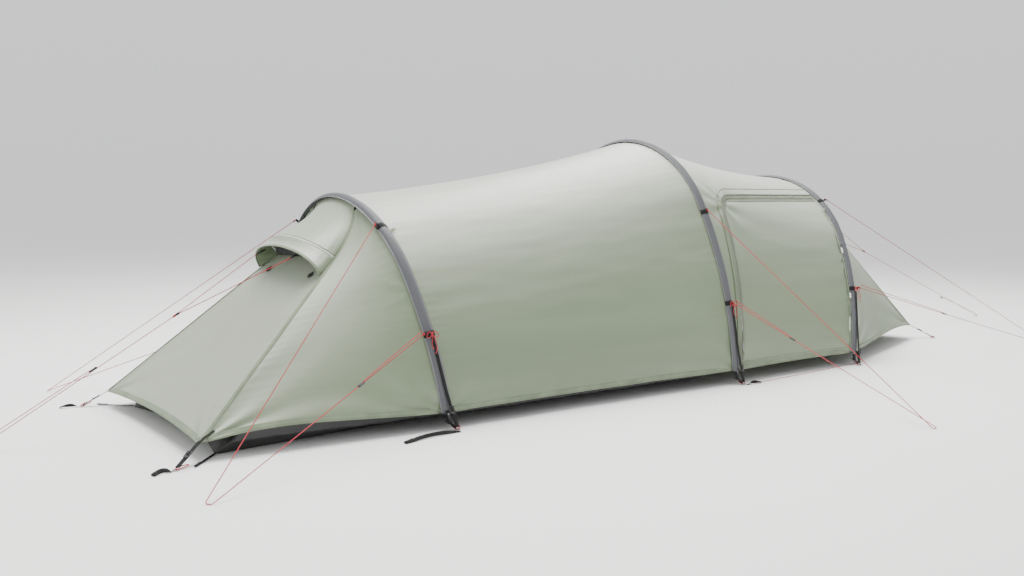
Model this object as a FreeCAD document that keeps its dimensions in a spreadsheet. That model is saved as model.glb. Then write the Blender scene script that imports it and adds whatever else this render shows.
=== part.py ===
"""Three-hoop tunnel tent, pitched and guyed, as separate named pieces.

X runs along the tent, from the sleeping end (-X) to the porch end (+X).
The side door faces -Y and Z is up.  Lengths are in millimetres.
"""
import FreeCAD, Part
import math
import os
import Sketcher

V = FreeCAD.Vector
X_AXIS = V(1, 0, 0)
Y_AXIS = V(0, 1, 0)
Z_AXIS = V(0, 0, 1)

doc = FreeCAD.newDocument("TunnelTent")

# ---------------------------------------------------------------- driving dimensions
DIMENSIONS = [
    # hoops: place along X, half width at the ground, rise in its own plane, crown radius, lean
    ("hoop1_place", -1280), ("hoop1_half", 615), ("hoop1_rise", 842), ("hoop1_crown", 544), ("hoop1_lean", -8.9),
    ("hoop2_place", 215), ("hoop2_half", 668), ("hoop2_rise", 1100), ("hoop2_crown", 531), ("hoop2_lean", -2.9),
    ("hoop3_place", 1082), ("hoop3_half", 676), ("hoop3_rise", 954), ("hoop3_crown", 588), ("hoop3_lean", 8.6),
    # sheets
    ("cloth_thick", 1.6), ("hem_height", 60), ("roof_sag", 34), ("seam_gap", 1.5),
    ("hem_arch", 22), ("side_hem_arch", 24),
    # poles and sleeves
    ("pole_radius", 4.25), ("pole_bore", 3.5), ("pole_lift", 8.5), ("pole_start", 30),
    ("cord_core", 1.2), ("ferrule_outer", 5.15), ("ferrule_inner", 4.7), ("ferrule_length", 36),
    ("sleeve_half_width", 20), ("sleeve_half_depth", 6.4), ("sleeve_wall", 0.8),
    ("band_half_width", 21.6), ("band_half_depth", 8.0), ("band_wall", 0.9), ("band_width", 22),
    ("cup_outer", 8), ("cup_bore", 5.0), ("cup_depth", 34), ("cup_floor", 5),
    # door in the porch wall
    ("door_left_low", 245), ("door_left_high", 340), ("door_top", 825), ("door_corner", 80),
    ("door_gap", 3), ("flap_width", 34), ("flap_top_width", 48), ("hinge_margin", 30),
    # inner tent
    ("inner_gap", 70), ("tub_fold", 42), ("tub_wall", 85), ("tub_sheet", 1.5),
    # webbing and pegging
    ("web_width", 15), ("web_thick", 1.6), ("ring_outer", 11), ("ring_bore", 7), ("ring_thick", 3),
    ("buckle_length", 26), ("buckle_width", 20), ("buckle_thick", 4),
    # cords
    ("guy_diameter", 3), ("runner_length", 30), ("runner_thick", 8), ("runner_bore", 3.8),
    # small fittings
    ("slider_length", 16), ("slider_width", 10), ("slider_thick", 4), ("pull_length", 30), ("pull_width", 6),
    ("toggle_length", 26), ("toggle_radius", 4), ("patch_size", 26), ("patch_thick", 2),
]

sheet = doc.addObject("Spreadsheet::Sheet", "Sheet")
for row, (alias, number) in enumerate(DIMENSIONS, start=1):
    sheet.set("A%d" % row, alias)
    sheet.set("B%d" % row, str(number))
    sheet.setAlias("B%d" % row, alias)
doc.recompute()


def size(alias):
    """A driving dimension, read back from the sheet."""
    return float(sheet.get(alias))


nodes = []


def node(thing, name, placement=None):
    """Name a sub-part, put it in its place and keep it for export."""
    thing.Label = name
    if placement is not None:
        thing.Placement = placement
    nodes.append(thing)
    return thing


def feature(name, shape):
    """A sub-part whose shape is built directly."""
    thing = doc.addObject("Part::Feature", name)
    thing.Shape = shape
    return node(thing, name)


def group(name, prototype, placements):
    """Copies of one prototype as separate solids in a single node."""
    copies = []
    for placement in placements:
        copy = prototype.copy()
        copy.Placement = placement.multiply(prototype.Placement)
        copies.append(copy)
    return feature(name, Part.makeCompound(copies))


# ---------------------------------------------------------------- hoop geometry
class Hoop:
    """A three-centred arch in a leaning plane: two side arcs and a crown arc, all tangent."""

    def __init__(self, number):
        self.name = "hoop%d" % number
        self.place = size(self.name + "_place")
        self.half = size(self.name + "_half")
        self.rise = size(self.name + "_rise")
        self.crown = size(self.name + "_crown")
        self.lean = math.radians(size(self.name + "_lean"))
        gap = self.half - self.crown
        self.side = (self.half ** 2 + self.rise ** 2 - 2 * self.rise * self.crown) / (2 * gap)
        self.turn = math.atan2(self.rise - self.crown, self.side - self.half)

    def local(self, along, lift=0):
        """Point in the hoop's plane; along runs -1 (front foot) to 1 (back foot)."""
        side = self.side + lift
        crown = self.crown + lift
        side_length = side * self.turn
        crown_length = crown * (math.pi / 2 - self.turn)
        run = (1 - abs(along)) * (side_length + crown_length)
        if run <= side_length:
            angle = run / side
            out = self.half - self.side + side * math.cos(angle)
            up = side * math.sin(angle)
        else:
            angle = self.turn + (run - side_length) / crown
            out = crown * math.cos(angle)
            up = self.rise - self.crown + crown * math.sin(angle)
        return (math.copysign(out, along) if along else 0.0), up

    def point(self, along, lift=0, shift=0):
        """Point in space on the arch, lifted outwards, shifted along X."""
        out, up = self.local(along, lift)
        return V(self.place + shift + up * math.sin(self.lean), out, up * math.cos(self.lean))

    def along_at(self, height, side=-1, lift=0):
        """Where on the arch a height above the ground is, on the front (-1) or back (1)."""
        low, high = 0.0, 1.0
        for _ in range(60):
            middle = (low + high) / 2
            if self.point(side * middle, lift).z > height:
                low = middle
            else:
                high = middle
        return side * (low + high) / 2

    def frame(self, along, lift=0):
        """Placement with Z along the arch, Y outwards and X across the sleeve."""
        step = 0.001
        tangent = self.point(along + step, lift) - self.point(along - step, lift)
        across = V(math.cos(self.lean), 0, -math.sin(self.lean))
        tangent.normalize()
        outward = tangent.cross(across)
        rotation = FreeCAD.Rotation(across, outward, tangent, "ZYX")
        return FreeCAD.Placement(self.point(along, lift), rotation)


HOOPS = [Hoop(1), Hoop(2), Hoop(3)]


def plane_of(body, role):
    """One of a body's own origin planes."""
    return [part for part in body.Origin.OriginFeatures if part.Role == role][0]


def new_sketch(body, name, role):
    sketch = body.newObject("Sketcher::SketchObject", name)
    sketch.AttachmentSupport = (plane_of(body, role), [""])
    sketch.MapMode = "FlatFace"
    return sketch


def bind(sketch, constraint, name, expression):
    """Add a named sketch constraint that follows the sheet."""
    index = sketch.addConstraint(Sketcher.Constraint(*constraint))
    sketch.renameConstraint(index, name)
    sketch.setExpression("Constraints." + name, expression)


def fix(sketch, *constraint):
    sketch.addConstraint(Sketcher.Constraint(*constraint))


def hoop_spine(body, hoop, lift):
    """The arch as three tangent arcs, a lift outside the cloth."""
    sketch = new_sketch(body, "Spine", "YZ_Plane")
    out = hoop.half - hoop.side
    back = Part.Circle(V(out, 0, 0), Z_AXIS, hoop.side + lift)
    crown = Part.Circle(V(0, hoop.rise - hoop.crown, 0), Z_AXIS, hoop.crown + lift)
    front = Part.Circle(V(-out, 0, 0), Z_AXIS, hoop.side + lift)
    sketch.addGeometry(Part.ArcOfCircle(back, 0, hoop.turn))
    sketch.addGeometry(Part.ArcOfCircle(crown, hoop.turn, math.pi - hoop.turn))
    sketch.addGeometry(Part.ArcOfCircle(front, math.pi - hoop.turn, math.pi))
    fix(sketch, "Tangent", 0, 2, 1, 1)
    fix(sketch, "Tangent", 1, 2, 2, 1)
    for point in [(0, 3), (0, 1), (2, 3), (2, 2)]:
        fix(sketch, "PointOnObject", point[0], point[1], -1)
    fix(sketch, "PointOnObject", 1, 3, -2)
    sheet_lift = "Sheet.pole_lift"
    names = hoop.name
    bind(sketch, ("Radius", 1, hoop.crown + lift), "crown", "Sheet.%s_crown + %s" % (names, sheet_lift))
    bind(sketch, ("DistanceY", -1, 1, 1, 3, hoop.rise - hoop.crown), "centre",
         "Sheet.%s_rise - Sheet.%s_crown" % (names, names))
    bind(sketch, ("DistanceX", -1, 1, 0, 1, hoop.half + lift), "half", "Sheet.%s_half + %s" % (names, sheet_lift))
    bind(sketch, ("DistanceX", 2, 2, -1, 1, hoop.half + lift), "half2", "Sheet.%s_half + %s" % (names, sheet_lift))
    return sketch


def trim_below(body, start):
    """Cut a swept hoop off at a height above the ground."""
    sketch = new_sketch(body, "TrimSketch", "XY_Plane")
    reach = 900
    corners = [V(-60, -reach, 0), V(60, -reach, 0), V(60, reach, 0), V(-60, reach, 0)]
    for index in range(4):
        sketch.addGeometry(Part.LineSegment(corners[index], corners[(index + 1) % 4]))
    for index in range(4):
        sketch.addConstraint(Sketcher.Constraint("Coincident", index, 2, (index + 1) % 4, 1))
    pocket = body.newObject("PartDesign::Pocket", "Trim")
    pocket.Profile = sketch
    pocket.Reversed = True
    pocket.setExpression("Length", "Sheet." + start)
    sketch.Visibility = False


def hoop_placement(hoop):
    return FreeCAD.Placement(V(hoop.place, 0, 0), FreeCAD.Rotation(Y_AXIS, math.degrees(hoop.lean)))


def hoop_pole(number, hoop):
    """The hollow pole, bent to the arch, with its feet trimmed to the cups."""
    body = doc.addObject("PartDesign::Body", "PoleBody%d" % number)
    lift = size("pole_lift")
    spine = hoop_spine(body, hoop, lift)
    profile = new_sketch(body, "Profile", "XY_Plane")
    centre = V(0, hoop.half + lift, 0)
    for index, alias in enumerate(["pole_radius", "pole_bore"]):
        profile.addGeometry(Part.Circle(centre, Z_AXIS, size(alias)))
        fix(profile, "PointOnObject", index, 3, -2)
        bind(profile, ("Radius", index, size(alias)), alias, "Sheet." + alias)
        bind(profile, ("DistanceY", -1, 1, index, 3, centre.y), "out%d" % index,
             "Sheet.%s_half + Sheet.pole_lift" % hoop.name)
    pipe = body.newObject("PartDesign::AdditivePipe", "Tube")
    pipe.Profile = profile
    pipe.Spine = (spine, [])
    trim_below(body, "pole_start")
    return node(body, "hoop_%d_pole" % number, hoop_placement(hoop))


def ellipse_ring(centre, half_width, half_depth, wall):
    """Outline and bore of a flat ring, wide along X."""
    outer = Part.Wire(Part.Ellipse(centre, half_width, half_depth).toShape())
    inner = Part.Wire(Part.Ellipse(centre, half_width - wall, half_depth - wall).toShape())
    return outer, inner


def arch_wire(hoop, lift, trim=0):
    """The arch as a wire in the body's own YZ plane, starting a trim height above the feet."""
    out = hoop.half - hoop.side
    centres = [V(0, out, 0), V(0, 0, hoop.rise - hoop.crown), V(0, -out, 0)]
    radii = [hoop.side, hoop.crown, hoop.side]
    foot = math.asin(trim / (hoop.side + lift))
    stops = [foot, hoop.turn, math.pi - hoop.turn, math.pi - foot]
    arcs = []
    for centre, radius, first, last in zip(centres, radii, stops[:-1], stops[1:]):
        points = []
        for angle in (first, (first + last) / 2, last):
            points.append(centre + V(0, math.cos(angle), math.sin(angle)) * (radius + lift))
        arcs.append(Part.Arc(*points).toShape())
    return Part.Wire(arcs)


def hoop_sleeve(number, hoop):
    """The flat sleeve that holds the pole, a hollow ellipse swept along the same arch."""
    lift = size("pole_lift")
    start = V(0, hoop.half + lift, 0)
    outline, bore = ellipse_ring(start, size("sleeve_half_width"), size("sleeve_half_depth"), size("sleeve_wall"))
    path = arch_wire(hoop, lift)
    tube = path.makePipeShell([outline], True, False).cut(path.makePipeShell([bore], True, False))
    below = Part.makeBox(200, 2000, 200 + size("hem_height"), V(-100, -1000, -200))
    thing = doc.addObject("Part::Feature", "Sleeve%d" % number)
    thing.Shape = tube.cut(below)
    return node(thing, "hoop_%d_sleeve" % number, hoop_placement(hoop))


# ---------------------------------------------------------------- sheets of cloth
INSIDE = V(0, 0, 300)
SKIN_ROWS = 6
SKIN_COLUMNS = 25
WALL_SAG = 0.3


def sheet_solid(grid, thickness, inside):
    """A closed thin solid: the surface through a grid of points and its copy towards the inside point."""
    rows = len(grid)
    columns = len(grid[0])
    inner = []
    for i in range(rows):
        line = []
        for j in range(columns):
            down = grid[min(i + 1, rows - 1)][j] - grid[max(i - 1, 0)][j]
            across = grid[i][min(j + 1, columns - 1)] - grid[i][max(j - 1, 0)]
            normal = down.cross(across)
            normal.normalize()
            if normal.dot(inside - grid[i][j]) < 0:
                normal = normal * -1
            line.append(grid[i][j] + normal * thickness)
        inner.append(line)
    faces = []
    for points in (grid, inner):
        surface = Part.BSplineSurface()
        surface.interpolate(points)
        faces.append(surface.toShape())
    borders = []
    for points in (grid, inner):
        loop = [[row[0] for row in points], [row[-1] for row in points], points[0], points[-1]]
        borders.append(loop)
    for outer_line, inner_line in zip(*borders):
        faces.append(edge_strip(outer_line, inner_line, faces[0], faces[1]))
    shell = Part.makeShell(faces)
    shell.sewShape(0.01)
    solid = Part.makeSolid(Part.Shell(shell.Faces))
    solid.fix(0.01, 0.01, 0.01)
    if solid.Volume < 0:
        solid.reverse()
    return solid


def edge_strip(outer_line, inner_line, outer_face, inner_face):
    """Ruled strip between matching border edges of the two surfaces."""
    edges = []
    for face, line in ((outer_face, outer_line), (inner_face, inner_line)):
        middle = line[len(line) // 2]
        edges.append(min(face.Edges, key=lambda edge: edge.distToShape(Part.Vertex(middle))[0]
                         + edge.distToShape(Part.Vertex(line[0]))[0] + edge.distToShape(Part.Vertex(line[-1]))[0]))
    return Part.makeRuledSurface(edges[0], edges[1])


def tunnel_point(first, second, part, share, lift=0):
    """Point on the skin between two hoops: part runs hoop to hoop, share from the front to the back hem."""
    start = first.point(share * first.along_at(size("hem_height"), 1), lift, size("seam_gap"))
    finish = second.point(share * second.along_at(size("hem_height"), 1), lift, -size("seam_gap"))
    spot = start + (finish - start) * part
    inward = V(0, -spot.y, INSIDE.z - spot.z)
    inward.normalize()
    weight = WALL_SAG + (1 - WALL_SAG) * (1 - abs(share))
    return spot + inward * (4 * part * (1 - part) * size("roof_sag") * weight)


def tunnel_grid(first, second, lift=0):
    """Grid of points over the skin between two hoops, hem to hem."""
    grid = []
    for i in range(SKIN_ROWS):
        part = i / (SKIN_ROWS - 1)
        shares = [-1 + 2 * j / (SKIN_COLUMNS - 1) for j in range(SKIN_COLUMNS)]
        grid.append([tunnel_point(first, second, part, share, lift) for share in shares])
    return grid


def straight_grid(top, bottom, rows=4):
    """Points on straight rulings between two edges given as equal lists."""
    grid = []
    for i in range(rows):
        part = i / (rows - 1)
        grid.append([start + (finish - start) * part for start, finish in zip(top, bottom)])
    return grid


def bow(left, apex, right, count=9, power=0.8):
    """Points of a brim that rises from its two ends to its apex."""
    line = []
    for index in range(count):
        angle = math.pi * index / (count - 1)
        rise = abs(math.sin(angle)) ** power
        spot = left + (right - left) * ((1 - math.cos(angle)) / 2)
        middle = (left + right) * 0.5
        line.append(spot + (apex - middle) * rise)
    return line


cloth = size("cloth_thick")


def fly_main_panel():
    grid = tunnel_grid(HOOPS[0], HOOPS[1])
    feature("fly_main_panel", sheet_solid(grid, cloth, INSIDE))


def porch_shell(lift=0, thickness=cloth):
    grid = tunnel_grid(HOOPS[1], HOOPS[2], lift)
    return sheet_solid(grid, thickness, INSIDE)


def door_outline(grow, grow_top):
    """Prism through the front wall: leaning left edge, rounded top corner, right edge along the hoop."""
    low = V(size("door_left_low") - grow, 0, 0)
    high = V(size("door_left_high") - grow, 0, size("door_top") + grow_top)
    hoop = HOOPS[2]
    margin = size("hinge_margin") + (0 if grow >= 0 else -grow)
    lean = math.tan(hoop.lean)
    foot = V(hoop.place - margin, 0, 0)
    head = V(hoop.place - margin + lean * high.z, 0, high.z)
    radius = size("door_corner") + grow
    up = high - low
    up.normalize()
    start = high - up * radius
    finish = high + V(radius, 0, 0)
    bisector = (start + finish) * 0.5 - high
    bisector.normalize()
    middle = high + bisector * (radius * (math.sqrt(2) - 1))
    edges = [
        Part.makeLine(foot, low),
        Part.makeLine(low, start),
        Part.Arc(start, middle, finish).toShape(),
        Part.makeLine(finish, head),
        Part.makeLine(head, foot),
    ]
    face = Part.Face(Part.Wire(edges))
    face.translate(V(0, -900, 0))
    return face.extrude(V(0, 800, 0))


def porch_panels():
    """The porch skin with its doorway, the door, the zip tape and the rain flap beside the zip."""
    gap = size("door_gap")
    opening = door_outline(0, 0)
    feature("fly_porch_panel", porch_shell().cut(opening))
    feature("side_door", porch_shell().common(door_outline(-gap, -gap)))
    tape_ring = door_outline(13, 13).cut(door_outline(1, 1))
    feature("door_zip_tape", porch_shell(1.4, 1.1).common(tape_ring))
    flap_ring = door_outline(size("flap_width"), size("flap_top_width")).cut(door_outline(15, 15))
    feature("rain_flap", porch_shell(2.0, 1.6).common(flap_ring))


def mirror_y(point):
    return V(point.x, -point.y, point.z)


class End:
    """The sloping end beyond a hoop: which way it faces and its few key points."""

    def __init__(self, name, hoop, crown_half, brim_end, brim_apex, seam_end, seam_apex, corner):
        self.name = name
        self.hoop = hoop
        self.crown_half = crown_half
        self.brim_end = brim_end
        self.brim_apex = brim_apex
        self.seam_end = seam_end
        self.seam_apex = seam_apex
        self.corner = corner
        self.face = math.copysign(1, corner.x)
        self.crown_along = self.find_crown()
        self.upper = (seam_end - self.crown(-1)).Length
        self.lower = (corner - seam_end).Length

    def find_crown(self):
        low, high = 0.0, 1.0
        for _ in range(50):
            middle = (low + high) / 2
            if -self.hoop.point(-middle).y < self.crown_half:
                low = middle
            else:
                high = middle
        return low

    def crown(self, side):
        return self.hoop.point(side * self.crown_along, 0, self.face * size("seam_gap"))

    def seam_point(self, share):
        """Point on the front seam, from the crown (0) to the corner (1); it is straight below the hood's end."""
        run = share * (self.upper + self.lower)
        if run >= self.upper:
            return self.seam_end + (self.corner - self.seam_end) * ((run - self.upper) / self.lower)
        return self.upper_seam(run / self.upper)

    def upper_seam(self, part):
        """Point on the front seam between the crown (0) and the hood's end (1)."""
        start = self.crown(-1)
        chord = self.seam_end - start
        pull = (self.corner - self.seam_end) * (self.upper / self.lower)
        return start + (chord * 2 - pull) * part + (pull - chord) * part ** 2


LEFT_END = End("left", HOOPS[0], 165, V(-1613, -275, 546), V(-1665, 0, 646),
               V(-1540, -248, 602), V(-1636, 0, 681), V(-2156, -522, 60))
RIGHT_END = End("right", HOOPS[2], 170, V(1540, -221, 646), V(1610, 0, 745),
                V(1480, -212, 700), V(1560, 0, 785), V(2190, -325, 78))


def end_top_panel(end):
    """Cloth from the hoop's crown down to the hood seam, between the two long seams."""
    count = 9
    gap = size("seam_gap")
    seam = bow(end.seam_end, end.seam_apex, mirror_y(end.seam_end), count, 1.0)
    grid = []
    for i in range(5):
        part = i / 4
        edge = end.upper_seam(part)
        line = []
        for j in range(count):
            share = -1 + 2 * j / (count - 1)
            crown = end.hoop.point(share * end.crown_along, 0, end.face * gap)
            spot = crown + (seam[j] - crown) * part
            straight = end.crown(-1) + (end.seam_end - end.crown(-1)) * part
            slip = edge - straight
            spot = spot + V(slip.x, -share * (slip.y + gap), slip.z)
            line.append(spot)
        grid.append(line)
    feature(end.name + "_top_panel", sheet_solid(grid, cloth, INSIDE))


def end_hood(end):
    """The hood over the vent, from the seam out to its stiff brim."""
    seam = bow(end.seam_end, end.seam_apex, mirror_y(end.seam_end), 9, 1.0)
    brim = bow(end.brim_end, end.brim_apex, mirror_y(end.brim_end), 9)
    clear = size("seam_gap") / (seam[4] - brim[4]).Length
    start = [a + (b - a) * clear for a, b in zip(seam, brim)]
    feature(end.name + "_hood", sheet_solid(straight_grid(start, brim), cloth, INSIDE))


def end_centre_panel(end):
    """The sloping panel below the hood, with a curved hem between its corners."""
    gap = 2 * size("seam_gap")
    count = 9
    grid = []
    upper = end.seam_end
    for i in range(6):
        part = i / 5
        line = []
        edge = upper + (end.corner - upper) * part
        for j in range(count):
            share = -1 + 2 * j / (count - 1)
            hem = size("hem_arch") * (1 - share * share) * part ** 3
            slope = upper - end.corner
            slope.normalize()
            spot = V(edge.x, -share * (edge.y + gap), edge.z) + V(slope.x, 0, slope.z) * hem
            line.append(spot)
        grid.append(line)
    feature(end.name + "_centre_panel", sheet_solid(grid, cloth, INSIDE))


def end_side_panels(end):
    """The two side panels, each from the hoop's side to the seam that runs down to the corner."""
    solids = []
    gap = size("seam_gap")
    hem = end.hoop.along_at(size("hem_height"), 1)
    for side in (-1, 1):
        grid = []
        for j in range(13):
            share = 0.03 + 0.97 * j / 12
            along = end.crown_along + (hem - end.crown_along) * share
            arch = end.hoop.point(side * along, 0, end.face * gap)
            seam = end.seam_point(share)
            seam = seam if side < 0 else mirror_y(seam)
            run = arch - seam
            seam = seam + run * (gap / run.Length)
            lift = size("side_hem_arch") * share ** 3
            grid.append([arch + (seam - arch) * i / 4 + Z_AXIS * (lift * math.sin(math.pi * (i / 4) ** 1.6))
                         for i in range(5)])
        solids.append(sheet_solid(grid, cloth, INSIDE))
    feature(end.name + "_side_panels", Part.makeCompound(solids))


def vent_meshes():
    """Mesh screens that close the gap between each centre panel and the top panel above it."""
    solids = []
    for end in (LEFT_END, RIGHT_END):
        face = math.copysign(1, end.corner.x)
        count = 7
        half = abs(end.seam_end.y) - 14
        low = []
        high = []
        for index in range(count):
            part = -1 + 2 * index / (count - 1)
            low.append(V(end.seam_end.x + face * 18, part * half, end.seam_end.z + 2))
            rise = (end.seam_apex.z - end.seam_end.z - 6) * math.cos(part * math.pi / 2) + 4
            high.append(V(end.seam_end.x + face * (18 + 0.55 * rise), part * half, end.seam_end.z + 2 + rise))
        solids.append(sheet_solid(straight_grid(high, low), 0.8, V(0, 0, 300)))
    feature("vent_meshes", Part.makeCompound(solids))


# ---------------------------------------------------------------- inner tent
# half widths of the floor where it lies on the ground, at its fold and at the top of its wall,
# from the middle of the sleeping end round to the porch end
TUB_FLOOR = [(-1975, 0), (-2080, 455), (-1290, 385), (170, 360)]
TUB_FOLD = [(-1965, 0), (-2045, 484), (-1290, 562), (172, 602)]
TUB_RIM = [(-1955, 0), (-2010, 490), (-1290, 552), (174, 598)]


def tub_loop(outline, height, inset):
    """Closed outline at a height, drawn in from its edge all round."""
    corners = []
    middle = outline[2][0]
    for x, y in outline:
        inward = 0 if x == middle else math.copysign(inset, middle - x)
        corners.append(V(x + inward, -max(y - inset, 0), height))
    ring = corners + [mirror_y(corner) for corner in reversed(corners[1:])]
    return Part.makePolygon(ring + [ring[0]])


def tub():
    """Groundsheet tray: its floor lies on the ground in the middle and is lifted at its long sides."""
    fold = size("tub_fold")
    wall = size("tub_wall")
    thick = size("tub_sheet")
    outer = Part.makeLoft([tub_loop(TUB_FLOOR, 0, 0), tub_loop(TUB_FOLD, fold, 0), tub_loop(TUB_RIM, wall, 0)],
                          True, True)
    inner = Part.makeLoft([tub_loop(TUB_FLOOR, thick, thick), tub_loop(TUB_FOLD, fold + thick, thick),
                           tub_loop(TUB_RIM, wall + thick, thick)], True, True)
    feature("groundsheet", outer.cut(inner))


def inner_tent():
    """The hung inner tent: a smaller tunnel, its sloping end wall, its doorway wall and the door."""
    gap = size("inner_gap")
    first = HOOPS[0]
    second = HOOPS[1]
    low = first.along_at(100, 1, -gap)
    low2 = second.along_at(100, 1, -gap)
    grid = []
    for i in range(4):
        part = i / 3
        line = []
        for j in range(17):
            share = -1 + 2 * j / 16
            start = first.point(share * low, -gap, 25)
            finish = second.point(share * low2, -gap, -70)
            line.append(start + (finish - start) * part)
        grid.append(line)
    feature("inner_canopy", sheet_solid(grid, cloth, INSIDE))
    end_wall = []
    for i in range(4):
        part = i / 3
        line = []
        for j in range(17):
            share = -1 + 2 * j / 16
            start = first.point(share * low, -gap, 21)
            floor_edge = V(-1990, 480 * share, 92)
            line.append(start + (floor_edge - start) * part)
        end_wall.append(line)
    feature("inner_end_wall", sheet_solid(end_wall, cloth, INSIDE))
    arch = [second.point(-low2 + 2 * low2 * j / 24, -gap - 3, -66) for j in range(25)]
    edges = [Part.makeLine(arch[j], arch[j + 1]) for j in range(24)]
    edges.append(Part.makeLine(arch[-1], arch[0]))
    wall = Part.Face(Part.Wire(edges)).extrude(V(cloth, 0, 0))
    doorway = inner_door_prism(0)
    feature("inner_door_wall", wall.cut(doorway))
    feature("inner_door", wall.common(inner_door_prism(3)))


def inner_door_prism(inset):
    """A rounded doorway block through the wall that faces the porch."""
    low_y, high_y, low_z, high_z, corner = -330 + inset, 300 - inset, 130 + inset, 720 - inset, 120
    block = Part.makeBox(300, high_y - low_y, high_z - low_z, V(60, low_y, low_z))
    upright = [edge for edge in block.Edges
               if abs(edge.Vertexes[0].X - edge.Vertexes[1].X) > 200 and edge.Vertexes[0].Z > high_z - 1]
    return block.makeFillet(corner, upright)


def inner_hangers():
    """Short toggled tapes that hang the inner tent from the hoops."""
    solids = []
    gap = size("inner_gap")
    for hoop, shift in ((HOOPS[0], 25), (HOOPS[1], -70)):
        for along in (-0.62, -0.3, 0, 0.3, 0.62):
            high = hoop.point(along, -cloth - 5, 4 if shift > 0 else -4)
            low = hoop.point(along, -gap + 1, shift)
            solids.append(strap(high, low, 8, 1.5))
    feature("inner_hangers", Part.makeCompound(solids))


# ---------------------------------------------------------------- webbing and cords
def strap(start, finish, width, thick, flat=X_AXIS):
    """A straight piece of webbing between two points, lying flat across the given direction."""
    run = finish - start
    box = Part.makeBox(width, thick, run.Length, V(-width / 2, -thick / 2, 0))
    box.Placement = FreeCAD.Placement(start, FreeCAD.Rotation(flat, Y_AXIS, run, "ZXY"))
    return box


def cord_path(points, bends):
    """Straight runs joined by tangent arcs of the given radii."""
    edges = []
    start = points[0]
    for index in range(1, len(points) - 1):
        corner = points[index]
        back = points[index - 1] - corner
        ahead = points[index + 1] - corner
        back.normalize()
        ahead.normalize()
        turn = math.pi - back.getAngle(ahead)
        radius = bends[index - 1]
        trim = radius * math.tan(turn / 2)
        first = corner + back * trim
        last = corner + ahead * trim
        bisector = back + ahead
        bisector.normalize()
        middle = corner + bisector * (radius / math.cos(turn / 2) - radius)
        edges.append(Part.makeLine(start, first))
        edges.append(Part.Arc(first, middle, last).toShape())
        start = last
    edges.append(Part.makeLine(start, points[-1]))
    return Part.Wire(edges)


def corner_radii(points):
    """For each corner, 0.45 of the shorter run beside it over the tangent of half the turn."""
    radii = []
    for before, corner, after in zip(points, points[1:], points[2:]):
        back = before - corner
        ahead = after - corner
        turn = math.pi - back.getAngle(ahead)
        radii.append(0.45 * min(back.Length, ahead.Length) / math.tan(turn / 2))
    return radii


def cord(name, points, diameter):
    """A round cord along a route of straight runs and arcs."""
    radii = corner_radii(points)
    path = cord_path(points, radii)
    direction = points[1] - points[0]
    ring = Part.Wire(Part.Circle(points[0], direction, diameter / 2).toShape())
    tube = path.makePipeShell([ring], True, False)
    expected = math.pi * diameter ** 2 / 4 * path.Length
    print(name, "length %.0f" % path.Length, "radii", [round(radius, 1) for radius in radii],
          "volume ratio %.4f" % (tube.Volume / expected))
    feature(name, tube)


BAND_HEIGHTS = {1: (725, 345), 2: (770, 365), 3: (815, 377)}
STAKES = {1: (V(-2280, -955, 2), V(-2280, 990, 2)), 2: (V(120, -1660, 2), V(120, 1660, 2)),
          3: (V(2500, -990, 2), V(2500, 990, 2))}
RUNNER_SHARE = {1: 0.36, 2: 0.34, 3: 0.42}
BAND_REACH = 17
LOOP_STEP = 24


def guy_anchor(hoop, height, side, stake):
    """Where a line leaves its band: just outside the sleeve, on the side that faces the stake."""
    along = hoop.along_at(height, side, size("pole_lift"))
    shift = math.copysign(size("band_half_width") + 2, stake.x - hoop.place)
    if abs(stake.x - hoop.place) < 150:
        shift = 0
    return hoop.point(along, BAND_REACH + 2, shift)


def guy_route(number, side):
    """Upper band to the stake loop and back to the lower band."""
    hoop = HOOPS[number - 1]
    stake = STAKES[number][0 if side < 0 else 1]
    upper, lower = [guy_anchor(hoop, height, side, stake) for height in BAND_HEIGHTS[number]]
    cross = Z_AXIS.cross(stake - (upper + lower) * 0.5)
    cross.normalize()
    if cross.dot(upper - lower) < 0:
        cross = cross * -1
    return [upper, stake + cross * (LOOP_STEP / 2), stake - cross * (LOOP_STEP / 2), lower]


def hoop_guys():
    for number in (1, 2, 3):
        for side, word in ((-1, "front"), (1, "back")):
            cord("hoop_%d_guy_%s" % (number, word), guy_route(number, side), size("guy_diameter"))


END_LINES = {
    "left": (V(-1672, 158, 606), V(-2039, 0, 410), V(-2331, 0, 239), V(-2720, 0, 2)),
    "right": (V(1640, 135, 688), V(2183, 0, 505), V(3118, 0, 160), V(3600, 0, 2)),
}
JUNCTION_STEP = 20


def end_guys():
    """Each end has a bridle between the two hood tabs and one long line from its middle."""
    for name, (tab, junction, runner, stake) in END_LINES.items():
        step = V(0, JUNCTION_STEP / 2, 0)
        route = [mirror_y(tab), junction - step, junction + step, tab]
        cord(name + "_end_bridle", route, size("guy_diameter"))
        run = stake - junction
        run.normalize()
        cord(name + "_end_guy", [junction + run * 6, stake], size("guy_diameter"))


def base_cords():
    """A cord along the ground between the feet of the two porch hoops, on each side."""
    for side, word in ((-1, "front"), (1, "back")):
        points = [V(290, side * 706, 2), V(560, side * 700, 2), V(860, side * 681, 2), V(1150, side * 668, 2)]
        cord("base_cord_" + word, points, 2.4)


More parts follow.
